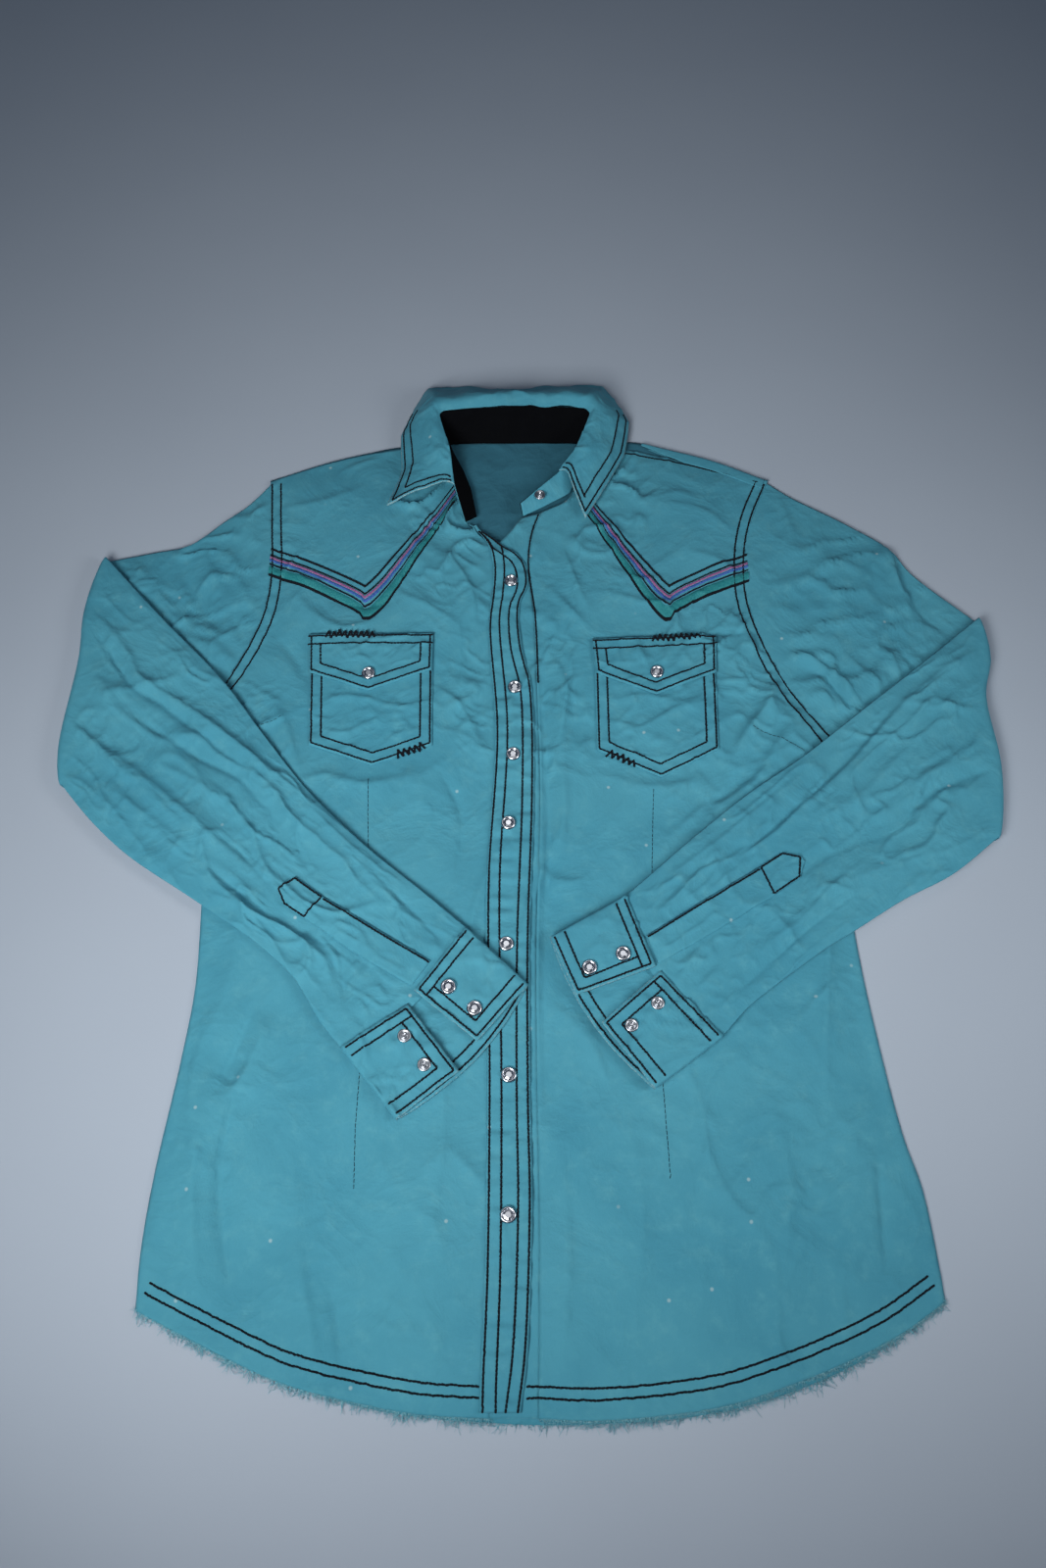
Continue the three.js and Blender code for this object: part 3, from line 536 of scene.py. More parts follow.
def wall(name, points, material, node=None, thick=CLOTH, ring=False, wear=None, offset=-1):
    """A sheet whose grid of points is given in rows, thickened below its face."""
    rows, columns = points.shape[:2]
    bm = bmesh.new()
    bmesh.ops.create_grid(bm, x_segments=columns - 1, y_segments=rows - 1, size=1)
    mesh = bpy.data.meshes.new(name)
    bm.to_mesh(mesh)
    bm.free()
    flat = np.empty(len(mesh.vertices) * 3)
    mesh.vertices.foreach_get("co", flat)
    flat = flat.reshape(-1, 3)
    j = np.rint((flat[:, 0] + 1) / 2 * (columns - 1)).astype(int)
    i = np.rint((1 - flat[:, 1]) / 2 * (rows - 1)).astype(int)
    mesh.vertices.foreach_set("co", row(points[i, j]).ravel())
    worn = mesh.attributes.new("wear", "FLOAT", "POINT")
    worn.data.foreach_set("value", (np.zeros(len(i)) if wear is None else wear[i, j]).astype(np.float32))
    bm = bmesh.new()
    bm.from_mesh(mesh)
    if ring:
        seam = [vert for vert, k in zip(bm.verts, j) if k in (0, columns - 1)]
        bmesh.ops.remove_doubles(bm, verts=seam, dist=1e-7)
        bmesh.ops.recalc_face_normals(bm, faces=bm.faces)
    elif sum(face.normal.z for face in bm.faces) < 0:
        bmesh.ops.reverse_faces(bm, faces=bm.faces)
    bm.to_mesh(mesh)
    bm.free()
    mesh.shade_smooth()
    piece = shown(mesh, name, material)
    if thick:
        solid = piece.modifiers.new("cloth", "SOLIDIFY")
        solid.thickness = thick * MM
        solid.offset = offset
    if node:
        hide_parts(node)
    return piece


def area(points):
    """A grid's area in square metres."""
    p = points * MM
    a, b = p[1:, 1:] - p[:-1, :-1], p[1:, :-1] - p[:-1, 1:]
    return float(np.linalg.norm(np.cross(a, b), axis=-1).sum() / 2)


def declare(piece, points, width, length, share=1.0):
    """Works out the cut's flat area, at most its width by its length in mm, and hands the piece back
    unchanged; the area is not kept.
    """
    cut = min(area(points) * share, width * length * MM * MM)
    return piece


def lifted(patch, across, down, height):
    """A patch's grid of points at a height over the table."""
    u, v = np.meshgrid(np.linspace(0, 1, across + 1), np.linspace(0, 1, down + 1))
    plan = patch(u, v)
    return np.concatenate([plan, height(plan[..., 0], plan[..., 1])[..., None]], -1)


def on_grid(points, r, c):
    """Points of a grid at fractional rows and columns."""
    r = np.clip(r, 0, points.shape[0] - 1.001)
    c = np.clip(c, 0, points.shape[1] - 1.001)
    i, j = r.astype(int), c.astype(int)
    a, b = (r - i)[:, None], (c - j)[:, None]
    return (
        (points[i, j] * (1 - b) + points[i, j + 1] * b) * (1 - a)
        + (points[i + 1, j] * (1 - b) + points[i + 1, j + 1] * b) * a
    )


def many(name, template, faces, centres, axes, material):
    """One mesh of copies of a template, each turned to its own axes."""
    placed = centres[:, None, :] + np.einsum("vk,nkd->nvd", template, axes)
    count = len(template)
    verts = row(placed.reshape(-1, 3))
    loops = [tuple(k + n * count for k in face) for n in range(len(centres)) for face in faces]
    mesh = bpy.data.meshes.new(name)
    mesh.from_pydata(verts.tolist(), [], loops)
    mesh.shade_smooth()
    return shown(mesh, name, material)


def bead():
    """A round-ended rod's points and faces, the shape of one pulled-down stitch."""
    bm = bmesh.new()
    bmesh.ops.create_uvsphere(bm, u_segments=4, v_segments=4, radius=1)
    points = np.array([v.co for v in bm.verts])
    radius = np.hypot(points[:, 0], points[:, 1])
    fuller = np.where((radius > 0.1) & (radius < 0.9), 0.95 / np.maximum(radius, 0.1), 1)
    points[:, :2] *= fuller[:, None]
    faces = [[v.index for v in f.verts] for f in bm.faces]
    bm.free()
    return points, faces


BEAD, BEAD_FACES = bead()
random = np.random.default_rng(11)


def spaced(line, gap):
    at = lengths(line)
    count = max(2, int(at[-1] / gap))
    middles = (np.arange(count) + 0.5) / count * at[-1]
    half = at[-1] / count / 2
    return through(line, at, middles), through(line, at, middles + half) - through(line, at, middles - half)


def stitches(name, lines, material, long=STITCH, gap=STITCH_GAP, radius=THREAD):
    """Rows of stitches along lines of points, each half sunk into the cloth."""
    centres, axes = [], []
    for line in lines:
        middle, along = spaced(np.asarray(line, float), gap)
        along = along / np.linalg.norm(along, axis=1)[:, None]
        turn = random.normal(0, 0.1, len(middle))
        along[:, 0], along[:, 1] = along[:, 0] - turn * along[:, 1], along[:, 1] + turn * along[:, 0]
        over = np.cross(along, np.tile([0.0, 0, 1], (len(along), 1)))
        over /= np.maximum(np.linalg.norm(over, axis=1)[:, None], 1e-6)
        up = np.cross(over, along)
        centres.append(middle + up * 0.25)
        axes.append(np.stack([over * radius, up * radius, along * long / 2], 1))
    return many(name, BEAD, BEAD_FACES, np.vstack(centres), np.vstack(axes), material)


def over_front(path, lift, close=1.5):
    """A line of plan points laid on the fronts, lift mm above their top."""
    plan = np.asarray(path, float)
    at = lengths(plan)
    plan = through(plan, at, np.linspace(0, at[-1], max(2, int(at[-1] / close))))
    return np.column_stack([plan, front_height(plan[:, 0], plan[:, 1]) + lift])


def beside(line, distance):
    """A plan line moved to its left by a distance."""
    line = np.asarray(line, float)
    ahead = np.gradient(line, axis=0)
    ahead /= np.maximum(np.linalg.norm(ahead, axis=1)[:, None], 1e-9)
    return line + np.column_stack([-ahead[:, 1], ahead[:, 0]]) * distance


def inset(polygon, margin):
    """An anticlockwise plan polygon with its sides moved in."""
    p = np.array(polygon, float)
    out = []
    for a, b, c in zip(np.roll(p, 1, 0), p, np.roll(p, -1, 0)):
        d, e = (b - a) / np.linalg.norm(b - a), (c - b) / np.linalg.norm(c - b)
        n, m = np.array([-d[1], d[0]]), np.array([-e[1], e[0]])
        out.append(b + (n + m) * margin / (1 + n @ m))
    return np.array(out)


# ---- materials ----
def linear(code):
    parts = [int(code[k:k + 2], 16) / 255 for k in (1, 3, 5)]
    return [c / 12.92 if c <= 0.04045 else ((c + 0.055) / 1.055) ** 2.4 for c in parts] + [1]


def node(material, kind, inputs=None, **settings):
    made = material.node_tree.nodes.new(kind)
    for name, value in settings.items():
        setattr(made, name, value)
    for name, value in (inputs or {}).items():
        if isinstance(value, bpy.types.NodeSocket):
            material.node_tree.links.new(value, made.inputs[name])
        else:
            made.inputs[name].default_value = value
    return made


def bare_material(name, **values):
    material = bpy.data.materials.new(name)
    material.use_nodes = True
    shader = material.node_tree.nodes["Principled BSDF"]
    for socket, value in values.items():
        shader.inputs[socket.replace("_", " ").title().replace("Ior", "IOR")].default_value = value
    return material, shader


def poplin(name, colour, deep, pale, fleck=0.55, gloss=0.25):
    """Garment-washed cotton poplin: matt, crisp, dye a little uneven, pale where it rubs."""
    material, shader = bare_material(
        name, roughness=0.85, sheen_weight=0.2 * gloss, sheen_roughness=0.4, specular_ior_level=gloss)
    place = node(material, "ShaderNodeTexCoord").outputs["Object"]
    cloudy = node(material, "ShaderNodeTexNoise", {
        "Vector": place, "Scale": 9.0, "Detail": 4.0, "Roughness": 0.6,
    })
    deeper = node(material, "ShaderNodeMapRange", {
        "Value": cloudy.outputs["Fac"], "From Min": 0.35, "From Max": 0.7,
    }, interpolation_type="SMOOTHSTEP")
    base = node(material, "ShaderNodeMix", {
        0: deeper.outputs["Result"], 6: linear(colour), 7: linear(deep),
    }, data_type="RGBA")
    mottle = node(material, "ShaderNodeTexNoise", {
        "Vector": place, "Scale": 90.0, "Detail": 5.0, "Roughness": 0.7,
    })
    paler = node(material, "ShaderNodeMapRange", {
        "Value": mottle.outputs["Fac"], "From Min": 0.45, "From Max": 0.95,
    }, interpolation_type="SMOOTHSTEP")
    base = node(material, "ShaderNodeMix", {
        0: paler.outputs["Result"], 6: base.outputs[2], 7: linear(pale),
    }, data_type="RGBA")
    if fleck:
        # slubs: one cell in twelve of a 26 mm pattern holds a pale spot 2 mm across
        spots = node(material, "ShaderNodeTexVoronoi", {
            "Vector": place, "Scale": 38.0, "Randomness": 1.0,
        }, voronoi_dimensions="2D")
        chance = node(material, "ShaderNodeSeparateColor", {"Color": spots.outputs["Color"]})
        rare = node(material, "ShaderNodeMapRange", {
            "Value": chance.outputs["Red"], "From Min": 0.9, "From Max": 0.94, "To Max": fleck,
        })
        small = node(material, "ShaderNodeMapRange", {
            "Value": spots.outputs["Distance"], "From Min": 0.06, "From Max": 0.02,
        }, interpolation_type="SMOOTHSTEP")
        dots = node(material, "ShaderNodeMath", {
            0: rare.outputs["Result"], 1: small.outputs["Result"],
        }, operation="MULTIPLY")
        base = node(material, "ShaderNodeMix", {
            0: dots.outputs[0], 6: base.outputs[2], 7: linear("#b9d3d4"),
        }, data_type="RGBA")
    wear = node(material, "ShaderNodeAttribute", attribute_name="wear")
    grit = node(material, "ShaderNodeTexNoise", {"Vector": place, "Scale": 700.0, "Detail": 3.0})
    rub = node(material, "ShaderNodeMath", {
        0: wear.outputs["Fac"], 1: grit.outputs["Fac"],
    }, operation="MULTIPLY")
    rubbed = node(material, "ShaderNodeMapRange", {
        "Value": rub.outputs[0], "From Min": 0.2, "From Max": 0.6,
    }, interpolation_type="SMOOTHSTEP")
    base = node(material, "ShaderNodeMix", {
        0: rubbed.outputs["Result"], 6: base.outputs[2], 7: linear("#a9c3c2"),
    }, data_type="RGBA")
    material.node_tree.links.new(base.outputs[2], shader.inputs["Base Color"])
    # poplin's rib is 0.3 mm; it is drawn at 0.8 mm so that it shows
    rib, warp = (
        node(material, "ShaderNodeTexWave", {
            "Vector": place, "Scale": 390.0, "Distortion": 1.2,
        }, bands_direction=way) for way in "YX"
    )
    weave = node(material, "ShaderNodeMath", {
        0: rib.outputs["Fac"], 1: warp.outputs["Fac"],
    }, operation="MULTIPLY")
    fine = node(material, "ShaderNodeTexNoise", {
        "Vector": place, "Scale": 240.0, "Detail": 4.0, "Roughness": 0.6,
    })
    # fine crinkles of up to 50 mm, left by washing
    crinkle = node(material, "ShaderNodeTexNoise", {
        "Vector": place, "Scale": 20.0, "Detail": 5.0, "Roughness": 0.5, "Distortion": 0.5, "Offset": 1.0,
        "Gain": 2.0,
    }, noise_type="RIDGED_MULTIFRACTAL")
    bump = node(material, "ShaderNodeBump", {
        "Height": weave.outputs[0], "Strength": 0.25, "Distance": 0.00015,
    })
    bump = node(material, "ShaderNodeBump", {
        "Height": fine.outputs["Fac"], "Strength": 0.4, "Distance": 0.0007, "Normal": bump.outputs["Normal"],
    })
    bump = node(material, "ShaderNodeBump", {
        "Height": crinkle.outputs["Fac"], "Strength": 0.5, "Distance": 0.0016,
        "Normal": bump.outputs["Normal"],
    })
    material.node_tree.links.new(bump.outputs["Normal"], shader.inputs["Normal"])
    return material


def yarn(name, colour, glint_colour, roughness=0.6):
    """Spun thread: small twisted plies, bumped, with their highlights painted into the colour as pale dashes.
    """
    material, shader = bare_material(name, roughness=roughness, sheen_weight=0.02, specular_ior_level=0.25)
    place = node(material, "ShaderNodeTexCoord").outputs["Object"]
    plies = node(material, "ShaderNodeTexNoise", {"Vector": place, "Scale": 1400.0, "Detail": 2.0})
    painted_ply_glint = node(material, "ShaderNodeMapRange", {
        "Value": plies.outputs["Fac"], "From Min": 0.4, "From Max": 0.65,
    }, interpolation_type="SMOOTHSTEP")
    # painted highlight: the paler second colour goes where the plies would catch the light
    base = node(material, "ShaderNodeMix", {
        0: painted_ply_glint.outputs["Result"], 6: linear(colour), 7: linear(glint_colour),
    }, data_type="RGBA")
    material.node_tree.links.new(base.outputs[2], shader.inputs["Base Color"])
    bump = node(material, "ShaderNodeBump", {
        "Height": plies.outputs["Fac"], "Strength": 0.5, "Distance": 0.0002,
    })
    material.node_tree.links.new(bump.outputs["Normal"], shader.inputs["Normal"])
    return material


def metal(name, colour, roughness):
    """Plated snap metal: bright, with a faint brushed unevenness."""
    material, shader = bare_material(name, metallic=1.0, roughness=roughness, base_color=linear(colour))
    place = node(material, "ShaderNodeTexCoord").outputs["Object"]
    rub = node(material, "ShaderNodeTexNoise", {"Vector": place, "Scale": 900.0, "Detail": 3.0})
    bump = node(material, "ShaderNodeBump", {
        "Height": rub.outputs["Fac"], "Strength": 0.15, "Distance": 0.0001,
    })
    material.node_tree.links.new(bump.outputs["Normal"], shader.inputs["Normal"])
    return material


# turquoise poplin washed soft: the dye is uneven and edges rub pale; a darker copy of it on the yoke inside
# the neck opening is painted shade, where the collar and fronts shade the neck
COTTON = poplin("garment_washed_poplin", "#509fb3", "#4796ac", "#5faab9")
PAINTED_NECK_SHADE_COTTON = poplin("garment_washed_poplin_painted_neck_shade", "#336d80", "#2e6779", "#3a7688", fleck=0)
# the stand's lining: a dense matt black that shows no weave
TWILL = poplin("black_lining_twill", "#06070a", "#040508", "#0a0c10", fleck=0, gloss=0.06)
# each thread's second colour is a painted highlight on its plies
# dull polyester topstitching, and the loose ends of the cloth's own yarn
BLACK = yarn("black_topstitch_thread", "#04070d", "#0b1322", 0.8)
FRAY = yarn("frayed_cotton", "#66b2c6", "#9bcdd4", 0.9)
# satin-stitch threads, smoother than the others and so a little shinier
TEAL = yarn("teal_satin_thread", "#1f7f88", "#3d9a9c", 0.5)
BLUE = yarn("blue_satin_thread", "#2c56a8", "#5079c0", 0.5)
MAUVE = yarn("mauve_satin_thread", "#8a4f86", "#ab769f", 0.5)
# snap caps are polished and plated, their studs plainer
CHROME = metal("polished_chrome", "#d4d6dc", 0.2)
STEEL = metal("plated_steel", "#b9bcc2", 0.28)


# ---- body ----
def rub_marks(points, sides, reach=2.5):
    """How worn each point is, from its distance along the cloth to the named edges; reach is in mm."""
    rows, columns = points.shape[:2]
    worn = np.zeros((rows, columns))
    across = np.linalg.norm(np.diff(points, axis=1), axis=-1)
    down = np.linalg.norm(np.diff(points, axis=0), axis=-1)
    from_left = np.concatenate([np.zeros((rows, 1)), np.cumsum(across, 1)], 1)
    from_top = np.concatenate([np.zeros((1, columns)), np.cumsum(down, 0)], 0)
    away = {
        "left": from_left, "right": from_left[:, -1:] - from_left,
        "top": from_top, "bottom": from_top[-1:] - from_top,
    }
    for side in sides:
        worn = np.maximum(worn, np.exp(-away[side] / reach))
    return worn


def make_body():
    left, right = smooth(LEFT_SIDE), smooth(RIGHT_SIDE)
    whole = coons(smooth(BACK_TOP), smooth(BACK_HEM), left, right)

    def under(x, y):
        return 0.95 + 0.1 * noise(x, y, 40, 31)

    points = lifted(whole, 90, 120, under)
    cut = int(np.argmin(np.abs(points[:, 45, 1] - YOKE_SEAM_Y)))
    back = wall("back_panel", points[cut:], COTTON, "back", thick=0.9)
    declare(back, points[cut:], 480, 640)

    def yoke_top(x, y):
        small = 0.5 * noise(x, y, 22, 33) + 0.3 * crumple(x, y, 12, 35)
        return 1.2 + small + crease_height(x, y, YOKE_CREASES)

    plan = coons(smooth(BACK_TOP), cornered([points[cut, 0, :2], points[cut, -1, :2]]),
                 smooth([points[k, 0, :2] for k in range(0, cut + 1, 4)]),
                 smooth([points[k, -1, :2] for k in range(0, cut + 1, 4)]))
    points = lifted(plan, 170, 44, yoke_top)
    points[..., 2] = np.maximum(points[..., 2], 0.75)
    # the yoke's inside is cut from the darker copy: painted shade in the neck opening
    yoke = wall("yoke_panel", points, PAINTED_NECK_SHADE_COTTON, "back_yoke", thick=0.6)
    declare(yoke, points, 400, 105)

    patches = {
        "front_left": (LEFT_TOP, LEFT_HEM, left, FRONT_EDGE, 106, 320),
        "front_right": (RIGHT_TOP, RIGHT_HEM, UNDER_EDGE, right, 112, 320),
        "under_placket": (UNDER_TOP, [(-22, -371), (6, -371)], FRONT_EDGE, UNDER_EDGE, 16, 230),
    }
    for name, (top, bottom, west, east, across, down) in patches.items():
        west = west if callable(west) else smooth(west)
        east = east if callable(east) else smooth(east)
        points = lifted(coons(smooth(top), smooth(bottom), west, east), across, down, front_height)
        worn = 0.45 * rub_marks(points, ["bottom"], 2.5)
        piece = wall(name + "_cloth", points, COTTON, name, wear=worn)
        width = 42 if name == "under_placket" else 260
        declare(piece, points, width, 720)

    roll = 0.75  # radius of the yoke's turn over the shoulder
    profile = rounded([
        (8, 0.7), (0, 0.6), (-roll * 0.9, 0.6 + roll * 0.5), (-roll, 0.7 + roll),
        (-roll * 0.9, 0.6 + roll * 1.8), (0.6, 3.0), (4, 3.3), (YOKE_WRAP, 3.3),
    ], 6)
    shoulder = smooth(SHOULDER)(np.linspace(0, 1, 70))
    narrowed = np.minimum(1, 0.25 + np.linspace(0, 1, 70) * 2)
    reach = np.where(profile[None, :, 0] > 0, profile[None, :, 0] * narrowed[:, None], profile[None, :, 0])
    high = profile[:, 1] + 0.15 * noise(shoulder[:, :1] + reach, shoulder[:, 1:], 8, 4)
    strip = np.stack([shoulder[:, :1] - reach * 0.34, shoulder[:, 1:] - reach * 0.94, high], -1)
    over = wall("yoke_over_shoulder", strip, COTTON, thick=0.6, offset=0)
    declare(over, strip, 110, 24)


def placket_height(x, y):
    """The placket lies a layer above the front, its cloth puckered between the rows."""
    pucker = 0.9 * noise(x * 0.3, y, 5, 41) + 0.3 * crumple(x, y, 6, 43, 0, 2.5)
    return front_height(x, y) * 0.85 + 0.15 * FRONT_Z + LAYER + pucker


def make_placket():
    top = cornered([PLACKET_LEFT[0], PLACKET_RIGHT[0]])
    bottom = cornered([PLACKET_LEFT[-1], PLACKET_RIGHT[-1]])
    patch = coons(top, bottom, smooth(PLACKET_LEFT), smooth(PLACKET_RIGHT))
    points = lifted(patch, 20, 460, placket_height)
    points[:, 0, 2] -= 0.7
    points[:, -1, 2] -= 0.5
    worn = 0.45 * rub_marks(points, ["right", "bottom", "top"], 0.6)
    band = wall("placket_band", points, COTTON, "placket", thick=1.2, wear=worn)
    declare(band, points, 34, 640)
    rows = []
    for side, away in PLACKET_ROWS:
        r = np.linspace(8, points.shape[0] - 1, 420)
        wide = np.linalg.norm(points[:, -1, :2] - points[:, 0, :2], axis=1)
        share = away / np.interp(r, np.arange(len(wide)), np.maximum(wide, 12))
        c = (share if side == 0 else 1 - share) * (points.shape[1] - 1)
        rows.append(on_grid(points, r, c))
    return rows


def five_pointed(corners, across, down, height):
    top_left, top_right, low_right, point, low_left = corners
    patch = coons(cornered([top_left, top_right]), cornered([low_left, point, low_right]),
                  cornered([top_left, low_left]), cornered([top_right, low_right]))
    return lifted(patch, across, down, height)


def pocket_height(layers):
    def height(x, y):
        wrinkles = 1.2 * crumple(x, y, 11, 51 + layers, 0.2, 1.8) + 2.6 * crease_height(x, y, POCKET_CREASES)
        wrinkles = wrinkles + 0.35 * noise(x, y, 4.5, 55)
        return front_height(x, y) + LAYER * layers * 0.95 + (0.15 + 0.85 * under_pocket(x, y)) * wrinkles
    return height


def zigzag(ends, waves, high):
    """A bar tack: a few tight zigzags along a line."""
    a, b = np.array(ends[0], float), np.array(ends[1], float)
    t = np.linspace(0, 1, waves * 2 + 1)
    swing = np.where(np.arange(len(t)) % 2, 1, -1) * high
    lean = random.uniform(0.7, 1.25, len(t))
    across = np.array([-(b - a)[1], (b - a)[0]]) / np.linalg.norm(b - a)
    return a + (b - a) * t[:, None] + across * (swing * lean)[:, None]


def top_of(points, lift):
    """The height of a grid's upper face over any plan point, lift mm above its points."""
    known = points.reshape(-1, 3)
    known = known[known[:, 2] > known[:, 2].min() + 0.6 * np.ptp(known[:, 2])]

    def height(x, y):
        far = (known[None, :, 0] - x[:, None]) ** 2 + (known[None, :, 1] - y[:, None]) ** 2
        three = np.argsort(far, axis=1)[:, :3]
        weight = 1 / (np.take_along_axis(far, three, 1) + 0.05)
        return (known[three, 2] * weight).sum(1) / weight.sum(1) + lift
    return height


def draped(path, height, close=1.2):
    plan = np.asarray(path, float)
    at = lengths(plan)
    plan = through(plan, at, np.linspace(0, at[-1], max(2, int(at[-1] / close))))
    return np.column_stack([plan, height(plan[:, 0], plan[:, 1])])


def straight_rows(path, height):
    """Each straight side of a path laid on a surface as a line of its own."""
    return [draped(side, height) for side in zip(path, path[1:])]


def make_pockets():
    rows, tacks = [], []
    for pocket in POCKETS:
        bag_height, flap_height = pocket_height(1), pocket_height(2)
        for part, corners, down, length, height, edges in (
            ("pocket", pocket.bag, 60, 118, bag_height, ["left", "right"]),
            ("pocket_flap", pocket.flap, 32, 54, flap_height, ["bottom", "left", "right"]),
        ):
            points = five_pointed(corners, 56, down, height)
            for edge in (points[0], points[-1], points[:, 0], points[:, -1]):
                edge[:, 2] -= 0.5
            name = f"{part}_{pocket.side}"
            worn = 0.4 * rub_marks(points, edges, 0.6)
            piece = wall(name + "_cloth", points, COTTON, name, thick=0.9, wear=worn)
            declare(piece, points, 95, length)
        for corners, height, margins in (
            (pocket.bag, bag_height, BAG_ROWS), (pocket.flap, flap_height, FLAP_ROWS),
        ):
            anticlockwise = [corners[0], *corners[:0:-1]]
            for margin in margins:
                rows += straight_rows(inset(anticlockwise, margin), height)
        level = np.array([pocket.flap[0], pocket.flap[1]], float)
        for drop in FLAP_ROWS:
            rows.append(draped(level - [0, drop], flap_height))
        tacks.append(draped(zigzag(pocket.top_tack, waves=9, high=2.6), flap_height, close=0.6))
        tacks.append(draped(zigzag(pocket.low_tack, waves=5, high=2.8), bag_height, close=0.6))
    return rows, tacks


# ---- sleeves and cuffs ----
def round_edge(v):
    """How full a flattened tube is across its width, from 0 at its folds to 1."""
    return np.sqrt(np.clip(1 - np.abs(2 * v - 1) ** 5, 0, 1))


def forearm_top(x, y):
    along = -0.72 if np.mean(x) < 0 else 0.64
    return (
        SLEEVE_Z + 2.2 * crease_height(x, y, FOREARM_CREASES) + 0.9 * noise(x, y, 46, 61)
        + 2.6 * crumple(x, y, 30, 69, along, 4.0) + 1.9 * crumple(x, y, 14, 63, along, 3.0)
        + 0.8 * crumple(x, y, 7, 67, along, 1.5)
    )


def upper_arm_top(x, y):
    return (
        SLEEVE_LOFT + 2.3 * crease_height(x, y, UPPER_ARM_CREASES) + 0.9 * noise(x, y, 40, 71)
        + 3.0 * crumple(x, y, 18, 73, 0.3, 1.8) + 1.1 * crumple(x, y, 8, 77)
    )


def sleeve_patches(sleeve):
    fold = smooth(sleeve.fold)
    hidden = [(x - 3 * sleeve.outward, y) for x, y in sleeve.armhole]
    upper = coons(smooth(sleeve.crown), smooth(sleeve.underarm), smooth(hidden), fold)
    fore = coons(smooth(sleeve.upper), smooth(sleeve.lower), fold, smooth(sleeve.seam))
    return fold, upper, fore


def make_sleeve(sleeve):
    fold, upper, fore = sleeve_patches(sleeve)
    across = 98
    v = 0.5 - 0.5 * np.cos(np.linspace(0, math.pi, across + 1))
    v = 0.6 * v + 0.4 * np.linspace(0, 1, across + 1)
    full = round_edge(v)
    rings = []
    for u in np.linspace(0, 1, 64):
        plan = upper(u, v)
        x, y = plan[:, 0], plan[:, 1]
        loft = SEAM_Z + (SLEEVE_LOFT - SEAM_Z) * step(u, 0, 0.35)
        free = step(u, 0, 0.12) * (1 - step(u, 0.9, 1.0))
        low = loft / 2 * (1 - full) + 0.05
        high = loft / 2 * (1 + full) + free * full * (upper_arm_top(x, y) - SLEEVE_LOFT)
        high = np.maximum(high, low + 1.2 * full)
        rings.append((plan, low, plan, high))
    for turn in np.linspace(0, math.pi, 16)[1:-1]:
        line = fold(v)
        sides = []
        for depth in (SLEEVE_LOFT / 2 * (1 - full), SLEEVE_LOFT / 2 * (1 + full)):
            radius = FOLD_RADIUS - depth
            reach = radius * math.sin(turn) * full ** 0.5
            out = np.column_stack([line[:, 0] + sleeve.outward * reach, line[:, 1]])
            sides += [out, FOLD_RADIUS - radius * math.cos(turn)]
        rings.append(sides)
    for u in np.linspace(0, 1, 186):
        plan = fore(u, v)
        x, y = plan[:, 0], plan[:, 1]
        free = step(u, 0.0, 0.06) * (1 - 0.7 * step(u, 0.96, 1.0))
        top = 2 * FOLD_RADIUS + 0.4 * u
        high = top - SLEEVE_LOFT / 2 * (1 + full)
        low = top - SLEEVE_LOFT / 2 * (1 - full) + free * full * (forearm_top(x, y) - SLEEVE_Z)
        low = np.maximum(low, high + 1.2 * full)
        rings.append((plan, low, plan, high))
    inside = np.array(sleeve.cap[1], float) - np.array(sleeve.cap[0], float)
    tucked = plan + inside / np.linalg.norm(inside) * TUCK
    rings.append((tucked, low - 0.4, tucked, high + 0.4))
    points = []
    for low_plan, low, high_plan, high in rings:
        under = np.column_stack([low_plan, low])
        over = np.column_stack([high_plan, high])[::-1]
        points.append(np.vstack([under, over[1:-1], under[:1]]))
    points = np.array(points)
    piece = wall(f"sleeve_{sleeve.side}_cloth", points, COTTON, f"sleeve_{sleeve.side}", thick=0, ring=True)
    declare(piece, points, 470, 580)


def cuff_grid(sleeve):
    def section(seam):
        corners = (0, 3) if seam else (1, 2)
        cap_fold, cap_end = (np.array(sleeve.cap[k], float) for k in corners)
        stud_fold, stud_end = (np.array(sleeve.stud[k], float) for k in corners)
        half = (CUFF_HIGH - CUFF_LOW) / 2
        ahead = np.array(sleeve.cap[1], float) - np.array(sleeve.cap[0], float)
        ahead /= np.linalg.norm(ahead)
        reach = half / np.linalg.norm(stud_fold - cap_fold)

        def under(share, z):
            bow = ahead * CUFF_BOW * 4 * share * (1 - share)
            return [*(cap_fold + (stud_fold - cap_fold) * share + bow), z]

        def over(end, fold_at, share, z):
            return [*(end + (fold_at - end) * share), z]

        high, low, mid = CUFF_HIGH, CUFF_LOW, (CUFF_HIGH + CUFF_LOW) / 2
        return rounded([
            over(cap_end, cap_fold, 0, high + 0.2), over(cap_end, cap_fold, 0.35, high),
            over(cap_end, cap_fold, 0.7, high),
            under(reach * 1.3, high), under(reach * 0.3, high - half * 0.3), under(0, mid),
            under(reach * 0.3, low + half * 0.3), under(reach * 1.3, low),
            under(0.25, low), under(0.5, low), under(0.75, low),
            under(1 - reach * 1.3, low), under(1 - reach * 0.3, low + half * 0.3), under(1, mid),
            under(1 - reach * 0.3, high - half * 0.3), under(1 - reach * 1.3, high),
            over(stud_end, stud_fold, 0.7, high), over(stud_end, stud_fold, 0.35, high),
            over(stud_end, stud_fold, 0, high + 0.2),
        ], 10)

    seam, rim = section(True), section(False)
    t = np.linspace(0.0, 1, 26)[:, None, None]
    points = seam[None] * (1 - t) + rim[None] * t
    points[..., 2] += cuff_wave(points[..., 0], points[..., 1])
    return points


def cuff_wave(x, y):
    return 1.0 * noise(x, y, 16, 81) + 1.5 * crumple(x, y, 11, 83) + 0.35 * noise(x, y, 4.5, 85)


